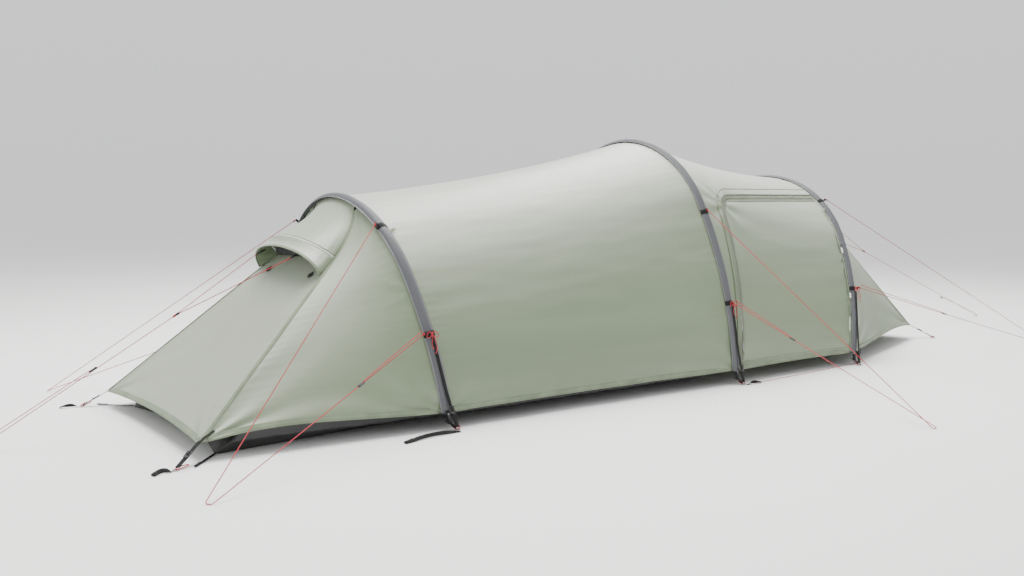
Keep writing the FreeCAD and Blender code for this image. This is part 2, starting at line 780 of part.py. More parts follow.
def runner_prototype():
    """A small bar with a bore along it, for the line to slide through."""
    body = doc.addObject("PartDesign::Body", "Runner")
    sketch = new_sketch(body, "Outline", "YZ_Plane")
    sketch.addGeometry(Part.Circle(V(0, 0, 0), Z_AXIS, size("runner_thick") / 2))
    sketch.addGeometry(Part.Circle(V(0, 0, 0), Z_AXIS, size("runner_bore") / 2))
    for index, alias in enumerate(["runner_thick", "runner_bore"]):
        fix(sketch, "Coincident", index, 3, -1, 1)
        bind(sketch, ("Radius", index, size(alias) / 2), alias, "Sheet.%s / 2" % alias)
    pad = body.newObject("PartDesign::Pad", "Bar")
    pad.Profile = sketch
    pad.Midplane = True
    pad.setExpression("Length", "Sheet.runner_length")
    return body


def line_runners():
    prototype = runner_prototype()
    doc.recompute()
    for number in (1, 2, 3):
        for side, word in ((-1, "front"), (1, "back")):
            route = guy_route(number, side)
            spot = route[3] + (route[2] - route[3]) * RUNNER_SHARE[number]
            place_runner(prototype, "runner_%d_%s" % (number, word), spot, route[2] - route[3])
    for name, (tab, junction, runner, stake) in END_LINES.items():
        run = stake - junction
        spot = junction + run * ((runner - junction).Length / run.Length)
        place_runner(prototype, "runner_%s_end" % name, spot, run)


def place_runner(prototype, name, spot, direction):
    thing = doc.addObject("Part::Feature", name)
    thing.Shape = prototype.Shape.copy()
    node(thing, name, FreeCAD.Placement(spot, FreeCAD.Rotation(X_AXIS, direction)))


# ---------------------------------------------------------------- hoop hardware
def hoop_fittings():
    """Ferrules, shock cords, cups and the band straps of all three hoops."""
    ferrule = Part.makeCylinder(size("ferrule_outer"), size("ferrule_length"), V(0, 0, -size("ferrule_length") / 2))
    bore = Part.makeCylinder(size("ferrule_inner"), size("ferrule_length"), V(0, 0, -size("ferrule_length") / 2))
    ferrule = ferrule.cut(bore)
    lift = size("pole_lift")
    ferrules = []
    bands = []
    cups = []
    for number, hoop in enumerate(HOOPS, start=1):
        for along in (-0.72, -0.43, -0.144, 0.144, 0.43, 0.72):
            ferrules.append(hoop.frame(along, lift))
        for height in BAND_HEIGHTS[number]:
            for side in (-1, 1):
                bands.append(hoop.frame(hoop.along_at(height, side, lift), lift))
        for side in (-1, 1):
            cups.append(hoop.frame(hoop.along_at(size("pole_start") - 8, side, lift), lift) if side < 0
                        else flip(hoop.frame(hoop.along_at(size("pole_start") - 8, side, lift), lift)))
    group("pole_ferrules", ferrule, ferrules)
    outline, bore = ellipse_ring(V(0, 0, -size("band_width") / 2), size("band_half_width"),
                                 size("band_half_depth"), size("band_wall"))
    along = V(0, 0, size("band_width"))
    band = Part.Face(outline).extrude(along).cut(Part.Face(bore).extrude(along))
    group("sleeve_bands", band, bands)
    cup = Part.makeCylinder(size("cup_outer"), size("cup_depth"))
    cup = cup.cut(Part.makeCylinder(size("cup_bore"), size("cup_depth"), V(0, 0, size("cup_floor"))))
    group("pole_cups", cup, cups)


def flip(placement):
    """Turn a placement end for end, so that its Z points up from the back foot."""
    return placement.multiply(FreeCAD.Placement(V(0, 0, 0), FreeCAD.Rotation(X_AXIS, 180)))


def shock_cords():
    """The elastic cord inside each pole, anchored at both ends."""
    solids = []
    for hoop in HOOPS:
        path = arch_wire(hoop, size("pole_lift"), size("pole_start") + 4)
        first = path.Edges[0]
        start = first.valueAt(first.FirstParameter)
        ring = Part.Circle(start, first.tangentAt(first.FirstParameter), size("cord_core"))
        tube = path.makePipeShell([Part.Wire(ring.toShape())], True, False)
        tube.Placement = hoop_placement(hoop)
        solids.append(tube)
    feature("pole_shock_cords", Part.makeCompound(solids))


# ---------------------------------------------------------------- small fittings
FOOT_RING_OUT = 34
FOOT_RING_AHEAD = 12
CORNER_RINGS = {"left": V(-2242, -570, 0), "right": V(2308, -405, 0)}
FLOOR_RING = V(-2188, -575, 0)
TAILS = [(V(-2256, -578, 2), V(-2317, -592, 2)), (V(-1272, -672, 2), V(-1518, -706, 2)),
         (V(238, -714, 2), V(322, -718, 2))]


def foot_ring(hoop, side):
    return V(hoop.place + FOOT_RING_AHEAD, side * (hoop.half + FOOT_RING_OUT), 0)


def sided(point, side):
    """The front point itself, or its mirror image at the back."""
    return point if side < 0 else mirror_y(point)


def ring_spots():
    spots = [foot_ring(hoop, side) for hoop in HOOPS for side in (-1, 1)]
    spots += [sided(spot, side) for spot in CORNER_RINGS.values() for side in (-1, 1)]
    return spots


def peg_rings():
    """Flat rings on the ground that a peg goes down through."""
    body = doc.addObject("PartDesign::Body", "PegRing")
    sketch = new_sketch(body, "Outline", "XY_Plane")
    for index, alias in enumerate(["ring_outer", "ring_bore"]):
        sketch.addGeometry(Part.Circle(V(0, 0, 0), Z_AXIS, size(alias)))
        fix(sketch, "Coincident", index, 3, -1, 1)
        bind(sketch, ("Radius", index, size(alias)), alias, "Sheet." + alias)
    pad = body.newObject("PartDesign::Pad", "Disc")
    pad.Profile = sketch
    pad.setExpression("Length", "Sheet.ring_thick")
    doc.recompute()
    group("peg_rings", body.Shape, [FreeCAD.Placement(spot, FreeCAD.Rotation()) for spot in ring_spots()])


def tied_strap(start, ring, width, thick, flat=None):
    """Webbing from a point down to the near edge of a ring on the ground."""
    finish = ring + V(0, 0, thick)
    run = finish - start
    run = run * (1 - (size("ring_outer") + 1) / run.Length)
    return strap(start, start + run, width, thick, flat or run.cross(Z_AXIS))


STRAP_LIFT = 22
STRAP_BEND = 150


def strap_points(number, hoop, side):
    """Where a tension strap starts below its band, and where it bends over the sleeve."""
    start = hoop.along_at(BAND_HEIGHTS[number][1] - 16, side, size("pole_lift"))
    bend = hoop.along_at(STRAP_BEND, side, size("pole_lift"))
    return hoop.point(start, STRAP_LIFT), hoop.point(bend, STRAP_LIFT)


def foot_straps():
    """The tension strap from each lower band to its ring, and the short strap from the cup."""
    solids = []
    for number, hoop in enumerate(HOOPS, start=1):
        for side in (-1, 1):
            ring = foot_ring(hoop, side)
            start, bend = strap_points(number, hoop, side)
            solids.append(strap(start, bend, size("web_width"), size("web_thick")))
            solids.append(tied_strap(bend, ring, size("web_width"), size("web_thick"), X_AXIS))
            along = hoop.along_at(size("pole_start") - 14, side, size("pole_lift"))
            cup = hoop.point(along, size("pole_lift") + size("cup_outer") + 1)
            solids.append(tied_strap(cup, ring, 8, 1.2))
    feature("foot_straps", Part.makeCompound(solids))


def corner_straps():
    """Webbing from each flysheet corner, and from the sleeping-end floor corners, to the pegging points."""
    solids = []
    for end in (LEFT_END, RIGHT_END):
        for side in (-1, 1):
            corner = sided(end.corner + V(end.face * 3, 0, -1), side)
            ring = sided(CORNER_RINGS[end.name], side)
            solids.append(tied_strap(corner, ring, size("web_width"), size("web_thick")))
    for side in (-1, 1):
        start = sided(V(-2090, -468, 5), side)
        solids.append(tied_strap(start, sided(FLOOR_RING, side), 10, size("web_thick")))
        for begin, finish in TAILS:
            run = finish - begin
            solids.append(strap(sided(begin, side), sided(finish, side), size("web_width"), size("web_thick"),
                                sided(run, side).cross(Z_AXIS)))
    feature("corner_straps", Part.makeCompound(solids))


BUCKLE_GAP = 1.2


def strap_buckles():
    """Ladder-lock buckles part way down the corner straps and the foot straps."""
    body = doc.addObject("PartDesign::Body", "Buckle")
    frame = body.newObject("PartDesign::AdditiveBox", "Frame")
    for name, alias in (("Length", "buckle_width"), ("Width", "buckle_thick"), ("Height", "buckle_length")):
        frame.setExpression(name, "Sheet." + alias)
    slot = body.newObject("PartDesign::SubtractiveBox", "Slot")
    slot.setExpression("Length", "Sheet.web_width + 1")
    slot.setExpression("Width", "Sheet.buckle_thick + 2")
    slot.setExpression("Height", "Sheet.buckle_length * 0.6")
    slot.Placement = FreeCAD.Placement(V(2, -1, 5), FreeCAD.Rotation())
    doc.recompute()
    prototype = body.Shape.copy()
    prototype.translate(V(-size("buckle_width") / 2, size("web_thick") + BUCKLE_GAP, -size("buckle_length") / 2))
    spots = []
    for end in (LEFT_END, RIGHT_END):
        for side in (-1, 1):
            start = sided(end.corner, side)
            finish = sided(CORNER_RINGS[end.name], side)
            spots.append((start, finish, 0.4, Z_AXIS.cross(finish - start)))
    for number, hoop in enumerate(HOOPS, start=1):
        for side in (-1, 1):
            spots.append((strap_points(number, hoop, side)[1], foot_ring(hoop, side), 0.5, X_AXIS * -side))
    placements = []
    for start, finish, share, across in spots:
        run = finish - start
        rotation = FreeCAD.Rotation(across, Y_AXIS, run, "ZXY")
        placements.append(FreeCAD.Placement(start + run * share, rotation))
    group("strap_buckles", prototype, placements)


def porch_point(x, height, lift):
    """Point off the front porch wall at an x and a height."""
    low, high = 0.0, 1.0
    for _ in range(40):
        share = -(low + high) / 2
        near = tunnel_point(HOOPS[1], HOOPS[2], 0, share, lift)
        far = tunnel_point(HOOPS[1], HOOPS[2], 1, share, lift)
        spot = tunnel_point(HOOPS[1], HOOPS[2], (x - near.x) / (far.x - near.x), share, lift)
        if spot.z > height:
            low = -share
        else:
            high = -share
    return spot


def porch_frame(x, height, lift):
    """Place on the porch wall, with the directions up the wall and along the tent."""
    step = 4
    up = porch_point(x, height + step, lift) - porch_point(x, height - step, lift)
    ahead = porch_point(x + step, height, lift) - porch_point(x - step, height, lift)
    return porch_point(x, height, lift), up, ahead


SLIDER_LIFT = 4.9


def zip_slider(name, x, height, direction):
    """A zip slider with its pull, lying just off the zip tape."""
    body = doc.addObject("PartDesign::Body", name)
    shell = body.newObject("PartDesign::AdditiveBox", "Shell")
    for prop, alias in (("Length", "slider_width"), ("Width", "slider_thick"), ("Height", "slider_length")):
        shell.setExpression(prop, "Sheet." + alias)
    pull = body.newObject("PartDesign::AdditiveBox", "Pull")
    pull.setExpression("Length", "Sheet.pull_width")
    pull.setExpression("Width", "Sheet.slider_thick * 0.4")
    pull.setExpression("Height", "Sheet.pull_length")
    pull.Placement = FreeCAD.Placement(V(2, 0.5, -size("pull_length") + 4), FreeCAD.Rotation())
    doc.recompute()
    spot, up, ahead = porch_frame(x, height, SLIDER_LIFT)
    along = up if direction == "up" else ahead
    inward = ahead.cross(up) * -1
    across = ahead if direction == "up" else up
    rotation = FreeCAD.Rotation(across, inward, along, "ZYX")
    centre = rotation.multVec(V(size("slider_width") / 2, size("slider_thick") / 2, size("slider_length") / 2))
    node(body, name, FreeCAD.Placement(spot - centre, rotation))


def toggles():
    """The two toggles that hold the rolled door back, hanging in front of the last hoop."""
    for name, height in (("toggle_upper", 560), ("toggle_lower", 340)):
        body = doc.addObject("PartDesign::Body", name)
        sketch = new_sketch(body, "Profile", "XZ_Plane")
        half = size("toggle_length") / 2
        radius = size("toggle_radius")
        corners = [V(0, -half, 0), V(radius * 0.7, -half, 0), V(radius, -half * 0.6, 0), V(radius * 0.7, 0, 0),
                   V(radius, half * 0.6, 0), V(radius * 0.7, half, 0), V(0, half, 0)]
        for first, last in zip(corners, corners[1:] + corners[:1]):
            sketch.addGeometry(Part.LineSegment(first, last))
        for index in range(len(corners)):
            fix(sketch, "Coincident", index, 2, (index + 1) % len(corners), 1)
        turned = body.newObject("PartDesign::Revolution", "Bar")
        turned.Profile = sketch
        turned.ReferenceAxis = (sketch, ["V_Axis"])
        turned.Angle = 360
        doc.recompute()
        hoop = HOOPS[2]
        along = hoop.along_at(height, -1)
        node(body, name, FreeCAD.Placement(hoop.point(along, TOGGLE_LIFT, -TOGGLE_AHEAD), hoop.frame(along).Rotation))


TOGGLE_LIFT = 9
TOGGLE_AHEAD = 32


def vent_pieces():
    """Hook-and-loop patches on the centre panels, and the webbing tabs that the bridles pull on."""
    patches = []
    tabs = []
    for end in (LEFT_END, RIGHT_END):
        slope = end.seam_end - end.corner
        down = V(slope.x, 0, slope.z)
        down.normalize()
        outward = V(-down.z * math.copysign(1, down.x), 0, abs(down.x))
        for side in (-1, 1):
            drop = (end.corner - end.seam_end) * 0.11
            base = sided(V(end.seam_end.x + drop.x, -190, end.seam_end.z + drop.z), side)
            patch = Part.makeBox(size("patch_size"), size("patch_size"), size("patch_thick"),
                                 V(-size("patch_size") / 2, -size("patch_size") / 2, 0))
            patch.Placement = FreeCAD.Placement(base + outward * 1.2, FreeCAD.Rotation(down, Y_AXIS, outward, "ZXY"))
            patches.append(patch)
            tip = END_LINES[end.name][0]
            tip = tip if side > 0 else mirror_y(tip)
            root = tip + V(-end.face * 34, 0, 16)
            tabs.append(strap(root, tip - (tip - root) * 0.08, 12, 1.5, Y_AXIS))
    feature("vent_patches", Part.makeCompound(patches))
    feature("vent_tabs", Part.makeCompound(tabs))


# ---------------------------------------------------------------- build
for number, hoop in enumerate(HOOPS, start=1):
    hoop_pole(number, hoop)
    hoop_sleeve(number, hoop)
hoop_fittings()
fly_main_panel()
porch_panels()
for end in (LEFT_END, RIGHT_END):
    end_top_panel(end)
    end_hood(end)
    end_centre_panel(end)
    end_side_panels(end)
vent_meshes()
tub()
inner_tent()
inner_hangers()
hoop_guys()
end_guys()
base_cords()
line_runners()
shock_cords()
peg_rings()
foot_straps()
corner_straps()
strap_buckles()
zip_slider("zip_slider_low", 262, 170, "up")
zip_slider("zip_slider_top", 1000, 833, "ahead")
toggles()
vent_pieces()

doc.recompute()
problems = []
for thing in doc.Objects:
    if "Invalid" in thing.State or "Error" in thing.State:
        problems.append(thing.Name)
for thing in nodes:
    if thing.Shape.isNull() or not thing.Shape.isValid():
        problems.append(thing.Label)
if problems:
    raise RuntimeError("failed: " + ", ".join(problems))

os.makedirs("parts", exist_ok=True)
for thing in nodes:
    thing.Shape.exportStep("parts/" + thing.Label + ".step")
print(len(nodes), "sub-parts written")
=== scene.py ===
"""Looks of the pitched three-hoop tunnel tent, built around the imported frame.

All lengths are in metres.  X runs from the sleeping end to the porch end, the side door faces -Y.
"""

import math

import bmesh
import bpy
import numpy as np
from mathutils import Euler, Matrix, Vector, noise
from mathutils.geometry import delaunay_2d_cdt, interpolate_bezier


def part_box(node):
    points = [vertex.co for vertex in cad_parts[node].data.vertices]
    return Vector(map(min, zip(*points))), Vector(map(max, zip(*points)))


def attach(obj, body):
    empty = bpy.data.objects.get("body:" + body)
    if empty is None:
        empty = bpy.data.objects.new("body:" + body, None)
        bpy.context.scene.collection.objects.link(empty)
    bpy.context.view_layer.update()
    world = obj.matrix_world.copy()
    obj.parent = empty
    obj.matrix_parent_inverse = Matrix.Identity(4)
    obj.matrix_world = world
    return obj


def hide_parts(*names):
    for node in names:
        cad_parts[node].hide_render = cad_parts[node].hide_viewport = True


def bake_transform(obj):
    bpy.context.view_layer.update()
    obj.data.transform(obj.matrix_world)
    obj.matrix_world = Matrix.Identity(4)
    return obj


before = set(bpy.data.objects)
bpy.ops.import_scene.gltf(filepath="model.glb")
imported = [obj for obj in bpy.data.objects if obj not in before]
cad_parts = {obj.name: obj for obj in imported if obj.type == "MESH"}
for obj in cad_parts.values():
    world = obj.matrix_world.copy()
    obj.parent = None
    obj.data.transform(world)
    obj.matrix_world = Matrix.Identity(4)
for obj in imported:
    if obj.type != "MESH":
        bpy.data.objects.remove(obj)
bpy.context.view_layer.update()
TENT = "tent"
FLY_THICK = 0.0011
X_AXIS = Vector((1, 0, 0))
Z_AXIS = Vector((0, 0, 1))
UV_NAME = "weave"

# ---------------------------------------------------------------- camera, floor and light
CAMERA_SPOT = (-3.165, -3.487, 0.821)
CAMERA_YAW, CAMERA_PITCH, CAMERA_ROLL = 0.646, 0.091, -0.001
CAMERA_LENS, SENSOR_WIDTH, CLIP_END = 34.17, 36, 200
SKY_STRENGTH = 1.0
SKY_LOW, SKY_HIGH = (0.98, 0.985, 0.99), (1.30, 1.31, 1.32)
LIGHTS = [  # name, spot, target, width, energy, tint
    ("Key", (-1.4, 0.4, 6.0), (-0.3, 0, 0.4), 4.0, 640, (1, 0.99, 0.97)),
    ("Fill", (-6.5, -2.0, 3.0), (-1, 0, 0.4), 4.0, 60, (0.97, 0.99, 1)),
    ("Back", (3.2, 2.0, 5.4), (-0.5, -0.2, 1.0), 4.4, 420, (1, 0.99, 0.96)),
]


def add_camera():
    data = bpy.data.cameras.new("Camera")
    data.lens = CAMERA_LENS
    data.sensor_width = SENSOR_WIDTH
    data.clip_end = CLIP_END
    camera = bpy.data.objects.new("Camera", data)
    turn = Euler((math.pi / 2 - CAMERA_PITCH, CAMERA_ROLL, -CAMERA_YAW), "XYZ")
    camera.matrix_world = Matrix.Translation(CAMERA_SPOT) @ turn.to_matrix().to_4x4()
    bpy.context.scene.collection.objects.link(camera)
    bpy.context.scene.camera = camera


def area_light(name, spot, target, width, energy, tint):
    data = bpy.data.lights.new(name, "AREA")
    data.shape = "DISK"
    data.size = width
    data.energy = energy
    data.color = tint
    light = bpy.data.objects.new(name, data)
    light.location = spot
    light.rotation_euler = (Vector(target) - Vector(spot)).to_track_quat("-Z", "Y").to_euler()
    bpy.context.scene.collection.objects.link(light)


def add_lights():
    """A sky that brightens upward, and the lamps."""
    world = bpy.data.worlds.new("World")
    world.use_nodes = True
    tree = world.node_tree
    background = tree.nodes["Background"]
    background.inputs["Strength"].default_value = SKY_STRENGTH
    height = add(tree, "ShaderNodeSeparateXYZ", i0=add(tree, "ShaderNodeTexCoord").outputs["Generated"]).outputs[2]
    tree.links.new(mix_colour(tree, height, SKY_LOW, SKY_HIGH), background.inputs["Color"])
    bpy.context.scene.world = world
    for light in LIGHTS:
        area_light(*light)


# ---------------------------------------------------------------- shader helpers
def add(tree, kind, settings=None, **links):
    """A node with its settings, and its inputs set to numbers or joined to sockets."""
    made = tree.nodes.new(kind)
    for key, value in (settings or {}).items():
        setattr(made, key, value)
    for key, value in links.items():
        socket = made.inputs[int(key[1:])] if key[0] == "i" and key[1:].isdigit() else made.inputs[key]
        if isinstance(value, bpy.types.NodeSocket):
            tree.links.new(value, socket)
        else:
            socket.default_value = value
    return made


def scaled(colour, factor, plus=0.0):
    """A colour made lighter or darker."""
    return tuple(min(1, channel * factor + plus) for channel in colour)


def start_material(name, rough, metal=0.0, sheen=0.0, specular=0.5):
    """A material, its node tree and the object's own coordinates in it."""
    material = bpy.data.materials.new(name)
    material.use_nodes = True
    tree = material.node_tree
    shader = tree.nodes["Principled BSDF"]
    shader.inputs["Roughness"].default_value = rough
    shader.inputs["Metallic"].default_value = metal
    shader.inputs["Sheen Weight"].default_value = sheen
    shader.inputs["Sheen Roughness"].default_value = 0.4
    shader.inputs["Specular IOR Level"].default_value = specular
    return material, tree, add(tree, "ShaderNodeTexCoord").outputs["Object"]


def finish_material(material, tone, height=None, strength=0.0):
    """Joins the colour, and a height in metres as a bump, to the material's shader."""
    tree = material.node_tree
    shader = tree.nodes["Principled BSDF"]
    tree.links.new(tone, shader.inputs["Base Color"])
    if height is not None:
        bump = add(tree, "ShaderNodeBump", Height=height, Strength=strength, Distance=1.0)
        tree.links.new(bump.outputs["Normal"], shader.inputs["Normal"])
    return material


def math_node(tree, operation, first, second=0.0):
    return add(tree, "ShaderNodeMath", {"operation": operation}, i0=first, i1=second).outputs[0]


def times(tree, first, second):
    return math_node(tree, "MULTIPLY", first, second)


def plus(tree, first, second):
    return math_node(tree, "ADD", first, second)


def sine(tree, value, factor):
    return math_node(tree, "SINE", times(tree, value, factor))


def mix_colour(tree, share, first, second):
    mixer = add(tree, "ShaderNodeMix", {"data_type": "RGBA"})
    for socket, value in ((mixer.inputs[0], share), (mixer.inputs[6], first), (mixer.inputs[7], second)):
        if isinstance(value, bpy.types.NodeSocket):
            tree.links.new(value, socket)
        elif isinstance(value, tuple):
            socket.default_value = value + (1,)
        else:
            socket.default_value = value
    return mixer.outputs[2]


def noise_at(tree, vector, scale, detail=2.0, stretch=None, low=0.35, high=0.65):
    """Noise from 0 to 1 over a vector that may be stretched first."""
    if stretch:
        vector = add(tree, "ShaderNodeVectorMath", {"operation": "MULTIPLY"}, i0=vector, i1=stretch).outputs[0]
    field = add(tree, "ShaderNodeTexNoise", Vector=vector, Scale=scale, Detail=detail)
    return add(tree, "ShaderNodeMapRange", i0=field.outputs["Fac"], i1=low, i2=high).outputs[0]


def line_mask(tree, value, pitch, width):
    """1 on thin lines that repeat along a value in metres, 0 between them."""
    share = math_node(tree, "FRACT", math_node(tree, "DIVIDE", value, pitch))
    return math_node(tree, "LESS_THAN", share, width / pitch)


def grid_mask(tree, across, along, pitch, width):
    return math_node(tree, "MAXIMUM", line_mask(tree, across, pitch, width), line_mask(tree, along, pitch, width))


def weave_coordinates(tree):
    """Metres of cloth across and along a piece."""
    split = add(tree, "ShaderNodeSeparateXYZ", i0=add(tree, "ShaderNodeUVMap", {"uv_map": UV_NAME}).outputs[0])
    return split.outputs[0], split.outputs[1]


RIP_LINE = 0.0006
THREAD_TURNS = 7000.0
# Painted top light: how far up the cloth must face before it starts to lighten, and where the lightening is full.
TOP_LIGHT_START, TOP_LIGHT_FULL = 0.24, 0.80


def ripstop_material(name, colour, rough, sheen, grid=0.006, streak=0.10, dirt=(0.30, 0.27, 0.20), dirt_top=0.16,
                     crinkle=0.0009, specular=0.35, painted_top_light=None):
    """Thin coated cloth: a fine ripstop grid, soft streaks, creases, a dusty hem, and painted top light that makes
    cloth facing up lighter.
    """
    material, tree, place = start_material(name, rough, 0, sheen, specular)
    across, along = weave_coordinates(tree)
    lines = grid_mask(tree, across, along, grid, RIP_LINE)
    bands = noise_at(tree, place, 1.0, 3.0, (0.5, 9.0, 9.0), 0.3, 0.7)
    cloud = noise_at(tree, place, 2.2, 2.0)
    tone = mix_colour(tree, bands, scaled(colour, 1 - streak), scaled(colour, 1 + streak * 0.8))
    tone = mix_colour(tree, times(tree, cloud, 0.35), tone, scaled(colour, 0.93))
    # Painted top light: cloth that faces up is mixed toward the given lighter colour, as if lit from above.
    if painted_top_light:
        facing = add(tree, "ShaderNodeSeparateXYZ", i0=add(tree, "ShaderNodeTexCoord").outputs["Normal"]).outputs[2]
        top_light_share = add(tree, "ShaderNodeMapRange", {"interpolation_type": "SMOOTHSTEP"}, i0=facing, i1=TOP_LIGHT_START,
                       i2=TOP_LIGHT_FULL)
        tone = mix_colour(tree, top_light_share.outputs[0], tone, mix_colour(tree, bands, painted_top_light, scaled(painted_top_light, 1.05)))
    tone = mix_colour(tree, times(tree, lines, 0.16), tone, scaled(colour, 0.6))
    height = add(tree, "ShaderNodeSeparateXYZ", i0=place).outputs[2]
    low = add(tree, "ShaderNodeMapRange", i0=height, i1=dirt_top, i2=0.02).outputs[0]
    specks = noise_at(tree, place, 26.0, 5.0, None, 0.45, 0.75)
    tone = mix_colour(tree, times(tree, times(tree, low, specks), 0.18), tone, dirt)
    threads = plus(tree, sine(tree, across, THREAD_TURNS), sine(tree, along, THREAD_TURNS))
    fine = noise_at(tree, place, 30.0, 4.0, (0.7, 1.3, 1.3), 0.2, 0.8)
    bumps = plus(tree, times(tree, fine, crinkle), times(tree, lines, 0.00010))
    return finish_material(material, tone, plus(tree, bumps, times(tree, threads, 0.00001)), 0.55)


def stitched_material(name, colour, thread, rough, rows=(0.25, 0.75), pitch=0.0042, width=0.012):
    """Folded seams, hems and tapes: fine ribs along the strip and rows of stitches."""
    material, tree, place = start_material(name, rough, 0, 0.15, 0.3)
    across, along = weave_coordinates(tree)
    tone = mix_colour(tree, noise_at(tree, place, 14.0, 3.0), scaled(colour, 0.86), scaled(colour, 1.1))
    stitches = 0.0
    for row in rows:
        beside = math_node(tree, "ABSOLUTE", math_node(tree, "SUBTRACT", across, row * width))
        on_row = math_node(tree, "LESS_THAN", beside, RIP_LINE)
        dash = line_mask(tree, along, pitch, 0.72 * pitch)
        stitches = math_node(tree, "MAXIMUM", stitches, times(tree, on_row, dash))
    bumps = times(tree, sine(tree, along, 2 * math.pi / 0.0011), 0.00006)
    bumps = plus(tree, bumps, times(tree, stitches, 0.0004))
    return finish_material(material, mix_colour(tree, stitches, tone, thread), bumps, 0.8)


def webbing_material(name, colour):
    """Woven strap: chevrons across the band."""
    material, tree, place = start_material(name, 0.62, 0, 0.0, 0.22)
    across, along = weave_coordinates(tree)
    chevron = sine(tree, plus(tree, along, math_node(tree, "PINGPONG", across, 0.0025)), 4200.0)
    tone = mix_colour(tree, noise_at(tree, place, 60.0, 3.0), scaled(colour, 0.75), scaled(colour, 1.5, 0.002))
    tone = mix_colour(tree, times(tree, plus(tree, chevron, 1.0), 0.22), tone, scaled(colour, 2.0, 0.003))
    return finish_material(material, tone, times(tree, chevron, 0.00018), 0.9)


def braid_material(name, colour, fleck):
    """Braided cord: crossing strands, darker toward the grooves between them as painted shade, with a pale tracer
    thread.
    """
    material, tree, place = start_material(name, 0.6, 0, 0.2, 0.3)
    checks = add(tree, "ShaderNodeTexVoronoi", {"feature": "F1"}, Vector=place, Scale=640.0)
    groove_and_shade = add(tree, "ShaderNodeMapRange", i0=checks.outputs["Distance"], i1=0.0, i2=0.8).outputs[0]
    tracer = noise_at(tree, place, 160.0, 2.0, None, 0.60, 0.68)
    # Painted shade: the tone darkens toward the grooves between strands, where the bump is lowest.
    tone = mix_colour(tree, groove_and_shade, scaled(colour, 1.25), scaled(colour, 0.6))
    tone = mix_colour(tree, times(tree, tracer, 0.5), tone, fleck)
    return finish_material(material, tone, times(tree, groove_and_shade, -0.0005), 0.8)


def moulded_material(name, colour, rough, scale=180.0, bump=0.00012):
    """Moulded plastic: fine grain, slightly worn where noise is high."""
    material, tree, place = start_material(name, rough)
    grain = noise_at(tree, place, scale, 3.0)
    tone = mix_colour(tree, times(tree, grain, 0.5), colour, scaled(colour, 0.8))
    tone = mix_colour(tree, times(tree, noise_at(tree, place, scale / 9, 4.0), 0.4), tone, scaled(colour, 1.35, 0.01))
    return finish_material(material, tone, times(tree, grain, bump), 0.7)


def brushed_material(name, colour, rough):
    """Anodised or plated metal with fine drawn lines."""
    material, tree, place = start_material(name, rough, 1.0)
    lines = noise_at(tree, place, 90.0, 4.0, (14.0, 1.0, 1.0))
    return finish_material(material, mix_colour(tree, lines, scaled(colour, 0.8), colour),
                           times(tree, lines, 0.00004), 0.5)


def mesh_material(name, colour):
    """Fine netting: a grid of light threads, with the holes between them painted dark as the shade seen through them.
    """
    material, tree, _ = start_material(name, 0.8, 0, 0.1, 0.2)
    threads = grid_mask(tree, *weave_coordinates(tree), 0.0016, 0.0005)
    # The holes are painted near black, standing in for the shade behind the netting.
    return finish_material(material, mix_colour(tree, threads, scaled(colour, 0.3), scaled(colour, 1.8)),
                           times(tree, threads, 0.0003), 0.8)


def floor_material():
    material, tree, place = start_material("StudioFloor", 0.85, 0, 0, 0.25)
    cloud = noise_at(tree, place, 0.35, 2.0)
    return finish_material(material, mix_colour(tree, cloud, (0.80, 0.80, 0.79), (0.83, 0.83, 0.825)))
